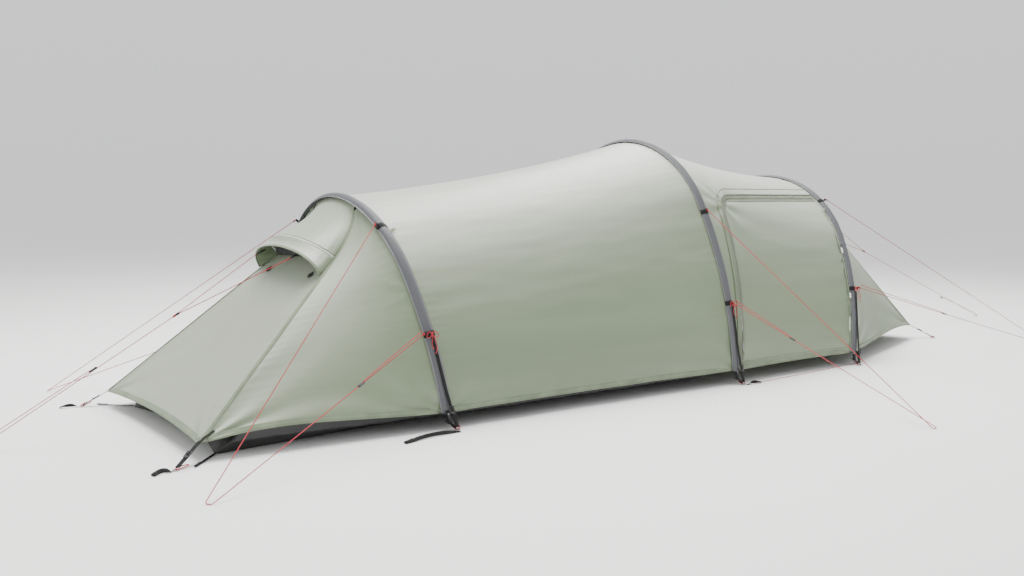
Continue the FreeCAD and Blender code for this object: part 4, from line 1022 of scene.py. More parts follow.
def inside(loop, spots):
    """Which of the spots lie inside a closed loop, by crossings."""
    loop = np.array(loop, float)
    x, y = spots[:, 0], spots[:, 1]
    found = np.zeros(len(spots), bool)
    for (x1, y1), (x2, y2) in zip(loop, np.roll(loop, -1, axis=0)):
        if y1 == y2:
            continue
        crosses = ((y1 > y) != (y2 > y)) & (x < (x2 - x1) * (y - y1) / (y2 - y1) + x1)
        found ^= crosses
    return found


def spaced_loop(loop, spacing):
    """The loop with extra points, so that no side is longer than the spacing."""
    line = []
    for (x1, y1), (x2, y2) in zip(loop, loop[1:] + loop[:1]):
        count = max(1, int(math.hypot(x2 - x1, y2 - y1) / spacing + 0.5))
        line += [(x1 + (x2 - x1) * k / count, y1 + (y2 - y1) * k / count) for k in range(count)]
    return line


def fill_loop(loop, spacing, gap, stagger=0.0):
    """Triangles inside a closed loop: their corners as an array, and each triangle's corner numbers."""
    edge = np.array(loop, float)
    low, high = edge.min(0), edge.max(0)
    u, v = np.meshgrid(np.arange(low[0], high[0], spacing), np.arange(low[1], high[1], spacing))
    u[1::2] += stagger
    net = np.column_stack([u.ravel(), v.ravel()])
    net = net[inside(loop, net)]
    near = np.array([np.min(np.hypot(*(edge - spot).T)) for spot in net])
    net = net[near > gap]
    rim = [(k, (k + 1) % len(loop)) for k in range(len(loop))]
    made = delaunay_2d_cdt([Vector(p) for p in loop] + [Vector(p) for p in net], rim, [], 0, 1e-7)
    flat = np.array([tuple(p) for p in made[0]], float)
    centres = np.array([flat[list(triangle)].mean(0) for triangle in made[2]])
    return flat, [triangle for triangle, good in zip(made[2], inside(loop, centres)) if good]


def cut_mesh(cloth, name, loop, spacing=0.014, lift=0.0):
    """Triangles over the part of a cloth inside a loop of (u, v) metres, and their area."""
    flat, kept = fill_loop(spaced_loop(loop, spacing), spacing, 0.55 * spacing, spacing / 2)
    points = [cloth.at(p[0] / cloth.tall, p[1] / cloth.wide, lift) for p in flat]
    faces = []
    area = 0.0
    for t in kept:
        a, b, c = [points[k] for k in t]
        here = cloth.at(flat[t[0]][0] / cloth.tall, flat[t[0]][1] / cloth.wide, lift + 0.01) - a
        faces.append(tuple(t) if (b - a).cross(c - a).dot(here) > 0 else tuple(reversed(t)))
        area += (b - a).cross(c - a).length / 2
    return new_mesh(name, points, faces, [tuple(p) for p in flat]), area


def door_path(grow, grow_top=None):
    """Door outline in x and height: up the leaning left edge, round the corner, along the top, down the hoop."""
    grow_top = grow if grow_top is None else grow_top
    low = Vector((0.245 - grow, 0.0))
    high = Vector((0.340 - grow, 0.825 + grow_top))
    margin = 0.030 + max(0, -grow)
    lean = math.tan(HOOPS[3].lean)
    radius = 0.080 + grow
    up = (high - low).normalized()
    start, finish = high - up * radius, high + Vector((radius, 0))
    line = [low + (start - low) * k / 24 for k in range(25)]
    bend = [p.xy for p in interpolate_bezier(start.to_3d(), (start + (high - start) * 0.5523).to_3d(),
                                             (finish + (high - finish) * 0.5523).to_3d(), finish.to_3d(), 9)]
    head = Vector((HOOPS[3].place - margin + lean * high.y, high.y))
    foot = Vector((HOOPS[3].place - margin, 0.0))
    line += bend[1:]
    line += [finish + (head - finish) * k / 22 for k in range(1, 23)]
    down = [head + (foot - head) * k / 24 for k in range(1, 25)]
    return line, down


def to_shares(line):
    return [porch_at(p.x, p.y) for p in line]


def edge_path(grow, grow_top=None, skip=2):
    """A path along the door's edge, grown outward."""
    return ab_path(to_shares(door_path(grow, grow_top)[0])[skip:])


def door_loop(cloth, grow):
    """The door's outline in metres of cloth, closed along the hem."""
    line, down = door_path(grow)
    loop = [(a * cloth.tall, b * cloth.wide) for a, b in to_shares(line + down)]
    loop[0], loop[-1] = (loop[0][0], 0.0), (loop[-1][0], 0.0)
    return loop


def hang_on_hoop(piece):
    """Bakes a door piece's placement into its mesh."""
    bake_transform(piece)


def add_porch_panel():
    cloth = Cloth(lambda a, b: tunnel_point(HOOPS[2], HOOPS[3], a, 2 * b - 1), 70, 260, INSIDE)
    wrinkled = [(a, b, 0.14, 0.006, 9) for a, b in PULLED_CORNERS]
    wrinkled.append((*porch_at(0.345, 0.800), 0.10, 0.006, 7))
    cloth.press(fold_for(cloth, 2.0, streak=0.0016, pucker=0.0012, anchors=wrinkled, hem_wave=0.005))
    rim = [(cloth.tall, 0.0), (cloth.tall, cloth.wide), (0.0, cloth.wide), (0.0, 0.0)]
    mesh, area = cut_mesh(cloth, "fly_porch", rim + door_loop(cloth, 0.0), 0.015)
    panel = thicken(link(mesh, "fly_porch", "fly", TENT, ["fly_porch_panel"]), FLY_THICK)
    mesh, area = cut_mesh(cloth, "door_cloth", door_loop(cloth, -0.003), 0.013)
    door = thicken(link(mesh, "door_cloth", "fly", None, ["side_door"]), FLY_THICK)
    hang_on_hoop(door)
    return cloth


def add_zip(cloth):
    """Tapes on both sides of the door's edge, the coil's teeth, the rain flap and its folded edges."""
    outer = strip_on(cloth, "zip_tape_fly", edge_path(0.007), ZIP_STRIP, "zip", 200)
    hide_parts("door_zip_tape")
    hang_on_hoop(strip_on(cloth, "zip_tape_door", edge_path(-0.0095), ZIP_STRIP, "zip", 200, None))
    path = edge_path(-0.0015)
    spots = [cloth.at(*path(k / 400), 0.0) for k in range(401)]
    lengths = [0.0]
    for a, b in zip(spots, spots[1:]):
        lengths.append(lengths[-1] + (b - a).length)
    pitch = 0.0028
    rows = ([], [])
    tooth = block_mesh((0.0044, 0.0015, 0.0016), 0.0004, 1)
    count = int(lengths[-1] / pitch)
    for k in range(count):
        share = float(np.interp(k * pitch, lengths, np.linspace(0, 1, 401)))
        a, b = path(share)
        a2, b2 = path(min(1.0, share + 0.004))
        spot = cloth.at(a, b, 0.0010)
        ahead = cloth.at(a2, b2, 0.0010) - spot
        if ahead.length < 1e-6:
            continue
        out = cloth.at(a, b, 0.011) - spot
        side = ahead.cross(out).normalized()
        shift = side * (0.0008 if k % 2 else -0.0008)
        rows[k % 2].append(moved(tooth, axes_matrix(spot + shift, side, out, ahead)))
    joined("zip_teeth_fly", rows[0], "teeth")
    hang_on_hoop(joined("zip_teeth_door", rows[1], "teeth", body=None))
    near, _ = door_path(0.015)
    far, _ = door_path(0.034, 0.048)
    ring = to_shares(near) + list(reversed(to_shares(far)))
    loop = [(a * cloth.tall, b * cloth.wide) for a, b in ring]
    mesh, area = cut_mesh(cloth, "rain_flap_cloth", loop, 0.0085, 0.0034)
    flap = thicken(link(mesh, "rain_flap_cloth", "hood", TENT, ["rain_flap"]), 0.0013)
    for grow, top, word in ((0.0185, 0.0185, "near"), (0.0305, 0.0445, "far")):
        strip_on(cloth, "rain_flap_edge_" + word, edge_path(grow, top, 1), (0.006, 0.0042, 0.0010), "seam", count=200)


def add_porch_seams(cloth):
    inset = HEM_INSET / cloth.wide
    left = porch_at(0.238, 0.0)[0]
    right = porch_at(1.056, 0.0)[0]
    strip_on(cloth, "porch_hem_back", lambda t: (0.02 + 0.96 * t, 1 - inset), HEM_STRIP, "hem", count=70)
    for name, place, width, key in (("door_hem", inset, 0.022, "hem"), ("door_hem_tape", 2.6 * inset, 0.006, "seam")):
        hang_on_hoop(strip_on(cloth, name, lambda t, b=place: (left + 0.028 + (right - left - 0.040) * t, b),
                              (width, 0.0004, 0.0012), key, count=70, body=None))


def add_end(end):
    """One sloping end: top panel, hood, centre panel, side panels, and the strips sewn on them."""
    name = end.name
    top = Cloth(end.top, 50, 60, INSIDE)
    top.press(fold_for(top, 3.0, streak=0.0018, pucker=0.0010, edges=("a0", "a1"), pinned=("b0", "b1", "a1"), hem=()))
    piece = top.piece(name + "_top", "fly_end", "fly_cloth", [name + "_top_panel"])
    hood = Cloth(end.hood, 24, 70, INSIDE)
    hood.press(fold_for(hood, 4.0, streak=0.0014, pucker=0.0009, edges=("a0",), pinned=("a0",), hem=(), calm=0.01))
    piece = hood.piece(name + "_hood_cloth", "hood", "fly_cloth", [name + "_hood"], 0.0014)
    centre = Cloth(end.centre, 80, 70, INSIDE)
    corners = [(1, 0, 0.14, 0.005, 9), (1, 1, 0.14, 0.005, 9), (0, 0, 0.10, 0.002, 7), (0, 1, 0.10, 0.002, 7)]
    centre.press(fold_for(centre, 5.0, streak=0.0010, pucker=0.0009, edges=("b0", "b1"), pinned=("b0", "b1"),
                          anchors=corners, hem=("a1",), hem_wave=0.006, calm=0.015))
    piece = centre.piece(name + "_centre", "fly_end", "fly_cloth", [name + "_centre_panel"])
    inset = HEM_INSET / centre.tall
    strip_on(centre, name + "_centre_hem", lambda t: (1 - inset, 0.02 + 0.96 * t), HEM_STRIP, "hem")
    for side, word in SIDES:
        wall = Cloth(lambda a, b, s=side: end.side(a, b, s), 130, 70, INSIDE)
        corners = [(1, 1, 0.16, 0.005, 9), (1, 0, 0.16, 0.005, 9), (0.5, 0.0, 0.08, 0.0015, 7)]
        wall.press(fold_for(wall, 6.0 + side, streak=0.0008, pucker=0.0004, edges=("b0", "b1"), pinned=("b1",),
                            anchors=corners, hem=("a1",), hem_wave=0.006, calm=0.015))
        # The right end's side panels take the cloth with almost no painted top light, as painted shade on that end.
        piece = wall.piece("%s_side_%s" % (name, word), "fly_end" if name == "left" else "fly_shade", "fly_cloth",
                           [name + "_side_panels"])
        inset = HEM_INSET / wall.tall
        strip_on(wall, "%s_side_hem_%s" % (name, word), lambda t: (1 - inset, 0.03 + 0.95 * t), HEM_STRIP, "hem")
        strip_on(wall, "%s_long_seam_%s" % (name, word), lambda t: (0.01 + 0.985 * t, 0.996), (0.012, 0.0010, 0.0014),
                 "seam", count=150)
    strip_on(top, name + "_hood_piping", lambda t: (0.985, 0.01 + 0.98 * t), (0.008, 0.0012, 0.0026), "piping")
    strip_on(top, name + "_hood_line", lambda t: (0.960, 0.02 + 0.96 * t), (0.006, 0.0006, 0.0012), "line")
    strip_on(hood, name + "_brim_binding", lambda t: (0.93, 0.005 + 0.99 * t), (0.012, 0.0006, 0.0014), "hem")
    brim = [hood.at(0.985, k / 60, -0.0008) for k in range(61)]
    link(tube_mesh(name + "_brim_edge", brim, 0.0028, 10), name + "_brim_edge", "hem")


# ---------------------------------------------------------------- sleeves, bands and webbing
SLEEVE_PROFILE = [(-0.0222, 0.0014), (-0.0190, 0.0021), (-0.0170, 0.0036), (-0.0140, 0.0075), (-0.0100, 0.0112),
                  (-0.0055, 0.0136), (0.0, 0.0146), (0.0055, 0.0136), (0.0100, 0.0112), (0.0140, 0.0075),
                  (0.0170, 0.0036), (0.0190, 0.0021), (0.0222, 0.0014)]


def sleeve_rows(hoop):
    top = hoop.along_at(HEM, 1)
    count = int(hoop.length() * top / 0.009)
    return [-top + 2 * top * k / count for k in range(count + 1)]


def add_sleeve(number):
    hoop = HOOPS[number]
    rows = sleeve_rows(hoop)
    bands = [hoop.along_at(height, side, POLE_LIFT) for height in BAND_HEIGHTS[number] for side in (-1, 1)]
    half = hoop.length() / 2
    points, flat = [], []
    for along in rows:
        out = hoop.axes(along)[1]
        run = along * half
        base = hoop.point(along)
        pinch = 1 - 0.10 * sum(math.exp(-((along - band) * half / 0.03) ** 2) for band in bands)
        for across, lift in SLEEVE_PROFILE:
            body = lift > 0.003
            ripple = 0.0011 * noise.noise(Vector((run * 22, across * 60, number))) if body else 0.0
            ripple += 0.0006 * math.sin(run * 2 * math.pi / 0.030 + 4 * noise.noise(Vector((run * 6, 0, number)))) \
                * math.exp(-((abs(across) - 0.015) / 0.004) ** 2)
            drift = 0.0012 * noise.noise(Vector((run * 5, number, 2.0)))
            points.append(base + hoop.across * (across * (1 + 0.03 * math.sin(run * 9)) + drift)
                          + out * min(0.0150, (lift + ripple) * (pinch if body else 1)))
            flat.append((across + 0.03, run))
    count = len(SLEEVE_PROFILE)
    mesh = new_mesh("sleeve_%d" % number, points, [f[::-1] for f in grid_faces(len(rows), count)], flat)
    piece = link(mesh, "sleeve_%d" % number, "sleeve", TENT, ["hoop_%d_sleeve" % number])
    thicken(piece, 0.0009)
    length = hoop.length() * hoop.along_at(HEM, 1)
    centres = [hoop.point(along, 0.0009) for along in rows]
    outs = [hoop.axes(along)[1] for along in rows]
    link(ribbon_mesh("sleeve_base_%d" % number, centres, hoop.across, 0.044, 0.0009, outs), "sleeve_base_%d" % number,
         "sleeve")
    for across, word in ((-0.0196, "left"), (0.0196, "right")):
        centres = [hoop.point(along, 0.0026) + hoop.across * across for along in rows]
        link(ribbon_mesh("sleeve_edge_%d_%s" % (number, word), centres, hoop.across, 0.0070, 0.0009, outs),
             "sleeve_edge_%d_%s" % (number, word), "sleeve_edge")
    for side, word in SIDES:
        along = hoop.along_at(HEM + 0.006, side)
        _, out, ahead = hoop.axes(along)
        loop = [hoop.point(along) + hoop.across * across + out * (lift + 0.0004) for across, lift in SLEEVE_PROFILE]
        link(ribbon_mesh("sleeve_cuff_%d_%s" % (number, word), loop, ahead, 0.014, 0.0012, None),
             "sleeve_cuff_%d_%s" % (number, word), "webbing")


def band_meshes(number, height, side):
    hoop = HOOPS[number]
    x, y = STAKES[number][0 if side < 0 else 1]
    stake = Vector((x, y, STAKE_Z))
    along = hoop.along_at(height, side, POLE_LIFT)
    _, out, ahead = hoop.axes(along)
    base = hoop.point(along)
    loop = [(-0.0236, 0.0030)] + [(a * 1.05, l + 0.0012) for a, l in SLEEVE_PROFILE[1:-1]] + [(0.0236, 0.0030)]
    centres = [base + hoop.across * a + out * l for a, l in loop]
    meshes = [ribbon_mesh("b", centres, ahead, 0.021, 0.0015)]
    anchor = guy_anchor(hoop, height, side, stake)
    shift = (anchor - base).dot(hoop.across)
    root = base + hoop.across * (shift * 0.55) + out * 0.0150
    pull = (stake - anchor).normalized()
    tip = anchor + pull * 0.002
    lift = out * 0.0035
    path = round_path([root - ahead * 0.002, (root + tip) / 2 + lift, tip, (root + tip) / 2 - lift * 0.4,
                       root + ahead * 0.002 - out * 0.001], 8)
    meshes.append(ribbon_mesh("t", path, ahead, 0.011, 0.0013))
    return meshes


def add_bands():
    meshes = []
    for number in (1, 2, 3):
        for height in BAND_HEIGHTS[number]:
            for side in (-1, 1):
                meshes += band_meshes(number, height, side)
    joined("band_webbing", meshes, "webbing", ["sleeve_bands"])


FOOT_OUT, FOOT_AHEAD = 0.034, 0.012
STRAP_LIFT, STRAP_BEND = 0.022, 0.150
RING_OUTER = 0.011
CORNER_RINGS = {"left": (-2.242, -0.570, 0.0), "right": (2.308, -0.405, 0.0)}
FLOOR_RING = (-2.188, -0.575, 0.0)
TAILS = [((-2.256, -0.578), (-2.286, -0.580), (-2.317, -0.592)), ((-1.272, -0.672), (-1.40, -0.684), (-1.518, -0.706)),
         ((0.238, -0.714), (0.280, -0.711), (0.322, -0.718))]


def foot_ring(hoop, side):
    return Vector((hoop.place + FOOT_AHEAD, side * (hoop.half + FOOT_OUT), 0.0))


def strap_mesh(start, ring, width, thick, sag=0.0):
    """Webbing from a point to a ring: it passes under the ring's rim and folds back on itself."""
    ring = Vector(ring) + Vector((0, 0, 0.003))
    run = ring - start
    reach = run.normalized()
    flat_side = run.cross(Z_AXIS).normalized()
    near = ring - reach * (RING_OUTER - 0.002)
    mid = (start + near) / 2 + Vector((0, 0, -sag))
    meshes = [ribbon_mesh("s", round_path([start, mid, near], 14), flat_side, width, thick)]
    up = flat_side.cross(reach).normalized()
    if up.z < 0:
        up = -up
    back = near - reach * 0.045
    fold = round_path([near + up * 0.0004, near + up * 0.0024, near - reach * 0.012 + up * 0.0022,
                       back + up * 0.0018], 8)
    meshes.append(ribbon_mesh("f", fold, flat_side, width, thick))
    return meshes


def foot_strap(hoop, number, side):
    """The tension strap: down the outside of the sleeve from its lower band, then off to the ring."""
    start = hoop.point(hoop.along_at(BAND_HEIGHTS[number][1] - 0.016, side, POLE_LIFT), STRAP_LIFT)
    bend = hoop.point(hoop.along_at(STRAP_BEND, side, POLE_LIFT), STRAP_LIFT)
    ring = foot_ring(hoop, side)
    finish = ring + Vector((0, 0, 0.004))
    finish = finish + (bend - finish).normalized() * (RING_OUTER - 0.002)
    lowest = abs(hoop.along_at(BAND_HEIGHTS[number][1] - 0.03, side, POLE_LIFT))
    spots = [hoop.along_at(height, side, POLE_LIFT) for height in (0.30, 0.24, 0.19)]
    last = ([start] + [hoop.point(spot, STRAP_LIFT) for spot in spots if spot * side < lowest])[-1]
    path = round_path([start, (start + bend) / 4 + last / 2, bend + (start - bend) * 0.12,
                       bend + (finish - bend) * 0.12, (bend + finish) / 2, finish], 10)
    meshes = [ribbon_mesh("s", path, hoop.across, 0.0125, 0.0016)]
    reach = (finish - bend).normalized()
    out = Vector((0, side, 0))
    out = (out - reach * out.dot(reach)).normalized()
    fold = round_path([finish + out * 0.0004, finish + out * 0.0026 - reach * 0.002,
                       finish - reach * 0.02 + out * 0.0024, finish - reach * 0.055 + out * 0.0020], 8)
    meshes.append(ribbon_mesh("f", fold, hoop.across, 0.0125, 0.0014))
    return meshes, bend


def buckle_mesh(spot, across, out, along, width=0.020, length=0.026, thick=0.004):
    """A ladder-lock: two rails, three bars and a thumb lip."""
    matrix = axes_matrix(spot, across, out, along)
    parts = []
    for x in (-1, 1):
        rail = block_mesh((0.0026, thick, length), 0.0008)
        parts.append(moved(rail, matrix @ Matrix.Translation((x * (width / 2 - 0.0013), 0, 0))))
    for z, deep in ((-0.5, 0.0032), (-0.06, 0.0026), (0.42, 0.0040)):
        bar = block_mesh((width, thick * 0.8, deep), 0.0008)
        parts.append(moved(bar, matrix @ Matrix.Translation((0, 0, z * (length - 0.004)))))
    lip = block_mesh((width * 0.8, 0.0016, 0.007), 0.0006)
    tilt = Matrix.Rotation(math.radians(-24), 4, "X")
    parts.append(moved(lip, matrix @ Matrix.Translation((0, thick * 0.5, length * 0.5)) @ tilt))
    return parts


def add_straps():
    feet, corners, buckles, loops = [], [], [], []
    for number, hoop in HOOPS.items():
        for side in (-1, 1):
            ring = foot_ring(hoop, side)
            meshes, bend = foot_strap(hoop, number, side)
            feet += meshes
            cup = hoop.point(hoop.along_at(0.016, side, POLE_LIFT), POLE_LIFT + 0.009)
            feet += strap_mesh(cup, ring, 0.008, 0.0012)
            run = ring - bend
            out = run.cross(X_AXIS).normalized()
            out = out if out.y * side > 0 else -out
            buckles += buckle_mesh(bend + run * 0.5 + out * 0.0040, X_AXIS, out, run)
            loops.append(ring_loop(ring, Vector((0.4, -side, 0))))
            for way in (-1, 1):
                hem = hoop.point(hoop.along_at(HEM + 0.004, side), 0.004, way * 0.030)
                feet += strap_mesh(hem, ring + Vector((way * 0.002, 0, 0.001)), 0.010, 0.0013, 0.001)
    for end in ENDS.values():
        for side in (-1, 1):
            corner = sided(end.corner + Vector((end.face * 0.003, 0, -0.001)), side)
            ring = sided(CORNER_RINGS[end.name], side)
            corners += strap_mesh(corner, ring, 0.015, 0.0016, 0.001)
            run = ring - corner
            across = run.cross(Z_AXIS).normalized()
            out = across.cross(run).normalized()
            out = out if out.z > 0 else -out
            buckles += buckle_mesh(corner + run * 0.4 + out * 0.0030, across, out, run)
            loops.append(ring_loop(ring, Vector((-end.face, 0.3 * side, 0))))
            inward = Vector((-end.face * 0.06, -side * 0.014, 0.034))
            stub = round_path([corner + inward, corner + inward * 0.4 + Vector((0, 0, 0.004)), corner], 8)
            corners.append(ribbon_mesh("c", stub, across, 0.015, 0.0016))
    for side in (-1, 1):
        corners += strap_mesh(sided((-2.074, -0.452, 0.004), side), sided(FLOOR_RING, side), 0.010, 0.0016)
        for tail in TAILS:
            points = [Vector((x, y, 0.0020)) for x, y in tail]
            points[1].z = 0.0035
            line = [sided(p, side) for p in round_path(points, 16)]
            flat_side = (line[-1] - line[0]).cross(Z_AXIS).normalized()
            axis = (line[-1] - line[0]).normalized()
            tilts = [1.15 * math.sin(math.pi * k / (len(line) - 1)) for k in range(len(line))]
            line = [p + Vector((0, 0, 0.0068 * math.sin(tilt))) for p, tilt in zip(line, tilts)]
            sides = [Matrix.Rotation(tilt * side, 3, axis) @ flat_side for tilt in tilts]
            corners.append(ribbon_mesh("t", line, sides, 0.015, 0.0015, Z_AXIS))
            corners.append(ribbon_mesh("w", [line[-1] + Vector((0, 0, 0.0020)), line[-6] + Vector((0, 0, 0.0030))],
                                       sides[-3], 0.0160, 0.0030, Z_AXIS))
    joined("foot_webbing", feet, "webbing", ["foot_straps"])
    joined("corner_webbing", corners, "webbing", ["corner_straps"])
    joined("ladder_locks", buckles, "plastic", ["strap_buckles"])
    joined("ring_loops", loops, "guy")


def bow_meshes(spot, out, drop):
    """A knot in the guy cord with two loops and two hanging ends."""
    side = out.cross(drop).normalized()
    meshes = [coil_mesh("k", spot, side, 0.0024, 0.0014, 3)]
    for turn, reach in ((-1, 0.026), (1, 0.021)):
        tip = spot + side * turn * reach + drop * 0.012 + out * 0.006
        loop = round_path([spot, spot + side * turn * reach * 0.6 - drop * 0.004 + out * 0.006, tip,
                           spot + side * turn * reach * 0.5 + drop * 0.016 + out * 0.004, spot + drop * 0.002], 7)
        meshes.append(tube_mesh("b", loop, 0.0014, 7))
    for turn, reach in ((-1, 0.055), (1, 0.072)):
        tail = round_path([spot, spot + side * turn * 0.006 + drop * reach * 0.4 + out * 0.008,
                           spot + side * turn * 0.009 + drop * reach * 0.8 + out * 0.004,
                           spot + side * turn * 0.004 + drop * reach + out * 0.003], 7)
        meshes.append(tube_mesh("t", tail, 0.0014, 7))
        meshes.append(coil_mesh("e", tail[-1], drop, 0.0012, 0.0011, 2))
    return meshes


def add_bows():
    meshes = []
    for number, hoop in HOOPS.items():
        for side in (-1, 1):
            along = hoop.along_at(BAND_HEIGHTS[number][1] - 0.004, side, POLE_LIFT)
            out = hoop.axes(along)[1]
            drop = -Z_AXIS
            meshes += bow_meshes(hoop.point(along, 0.026), out, (drop - out * drop.dot(out)).normalized())
    joined("guy_bows", meshes, "guy")


def ring_loop(ring, lean):
    """A small loop of red cord through a peg ring, to pull the peg out by."""
    lean = Vector(lean).normalized()
    side = lean.cross(Z_AXIS)
    line = []
    for k in range(33):
        angle = 2 * math.pi * k / 32
        reach = 0.022 + 0.020 * math.cos(angle)
        line.append(Vector(ring) + lean * (reach - 0.004) + side * 0.012 * math.sin(angle)
                    + Vector((0, 0, 0.0052 + 0.0050 * (1 + math.cos(angle)))))
    return tube_mesh("loop", line, 0.0017, 7)


# ---------------------------------------------------------------- floor tray, inner tent and vents
TUB_FLOOR = ((-1.975, 0), (-2.080, 0.455), (-1.290, 0.385), (0.170, 0.360))
TUB_FOLD = ((-1.965, 0), (-2.045, 0.484), (-1.290, 0.562), (0.172, 0.602))
TUB_RIM = ((-1.955, 0), (-2.010, 0.490), (-1.290, 0.552), (0.174, 0.598))
FOLD_HEIGHT, WALL_HEIGHT = 0.042, 0.085
TRAY_STEPS = (28, 50, 90, 74)


def tray_loop(outline):
    """An outline of the tray with rounded corners, as the same number of spots whatever its size."""
    front = [Vector((x, -y, 0)) for x, y in outline]
    loop = front + [mirror_y(p) for p in reversed(front[1:])]
    parts = []
    reach = 0.02
    for index, corner in enumerate(loop):
        before, after = loop[index - 1], loop[(index + 1) % len(loop)]
        back, ahead = (before - corner).normalized() * reach, (after - corner).normalized() * reach
        parts += interpolate_bezier(corner + back, corner + back * 0.4, corner + ahead * 0.4, corner + ahead, 5)
        count = TRAY_STEPS[min(index, 6 - index)]
        start, finish = corner + ahead, after + (corner - after).normalized() * reach
        parts += [start + (finish - start) * k / count for k in range(1, count)]
    return parts


def add_groundsheet():
    rings = [tray_loop(outline) for outline in (TUB_FLOOR, TUB_FOLD, TUB_RIM)]
    count = len(rings[0])
    levels = [0.0, 0.03, 0.1, 0.2, 0.35, 0.5, 0.65, 0.8, 0.92, 1.0, 1.1, 1.3, 1.55, 1.8, 2.0]
    points, flat = [], []
    for level in levels:
        lower, upper = (rings[0], rings[1]) if level <= 1 else (rings[1], rings[2])
        part = level if level <= 1 else level - 1
        height = FOLD_HEIGHT * level if level <= 1 else FOLD_HEIGHT + (WALL_HEIGHT - FOLD_HEIGHT) * part
        for k in range(count):
            spot = lower[k] + (upper[k] - lower[k]) * part
            wave = 0.0050 * noise.noise(Vector((spot.x * 9, spot.y * 9, 2.0)))
            wave += 0.0030 * noise.noise(Vector((spot.x * 31, spot.y * 31, level * 2)))
            drop = 0.004 * (1 + noise.noise(Vector((spot.x * 6, spot.y * 6, 7.0)))) * (1 if level > 1.9 else 0)
            lift = wave * math.sin(math.pi * min(1.0, level / 2))
            points.append(Vector((spot.x, spot.y, min(WALL_HEIGHT, max(0.0012, height + lift - drop)))))
            flat.append((k * 0.016, level * 0.1))
    faces = grid_faces(len(levels), count, True)
    floor_points, floor_faces = floor_of([tuple(p.xy) for p in rings[0]], len(points))
    points += floor_points
    flat += [(p.x, p.y) for p in floor_points]
    mesh = new_mesh("floor_tray", points, faces + floor_faces, flat)
    shape = bmesh.new()
    shape.from_mesh(mesh)
    bmesh.ops.remove_doubles(shape, verts=shape.verts, dist=0.0003)
    bmesh.ops.recalc_face_normals(shape, faces=shape.faces)
    shape.to_mesh(mesh)
    shape.free()
    mesh.shade_smooth()
    piece = thicken(link(mesh, "floor_tray", "ground", TENT, ["groundsheet"]), 0.0012, 0.0)
    rim = (len(levels) - 1) * count
    line = [points[rim + k % count] + Vector((0, 0, -0.003)) for k in range(count + 1)]
    link(ribbon_mesh("tray_seam", line, Z_AXIS, 0.010, 0.0022), "tray_seam", "binding")


def floor_of(spots, base):
    """A flat net of triangles inside the tray's outline, with slight ripples."""
    flat, kept = fill_loop(spots, 0.045, 0.02)
    edge = np.array(spots, float)
    points = []
    for p in flat:
        away = float(np.min(np.hypot(*(edge - p).T)))
        ripple = 0.0022 * (1 + noise.noise(Vector((p[0] * 7, p[1] * 7, 5.0)))) * smooth_step(away / 0.06)
        points.append(Vector((p[0], p[1], 0.0012 + ripple)))
    return points, [tuple(base + k for k in t) for t in kept]


INNER_GAP = 0.070


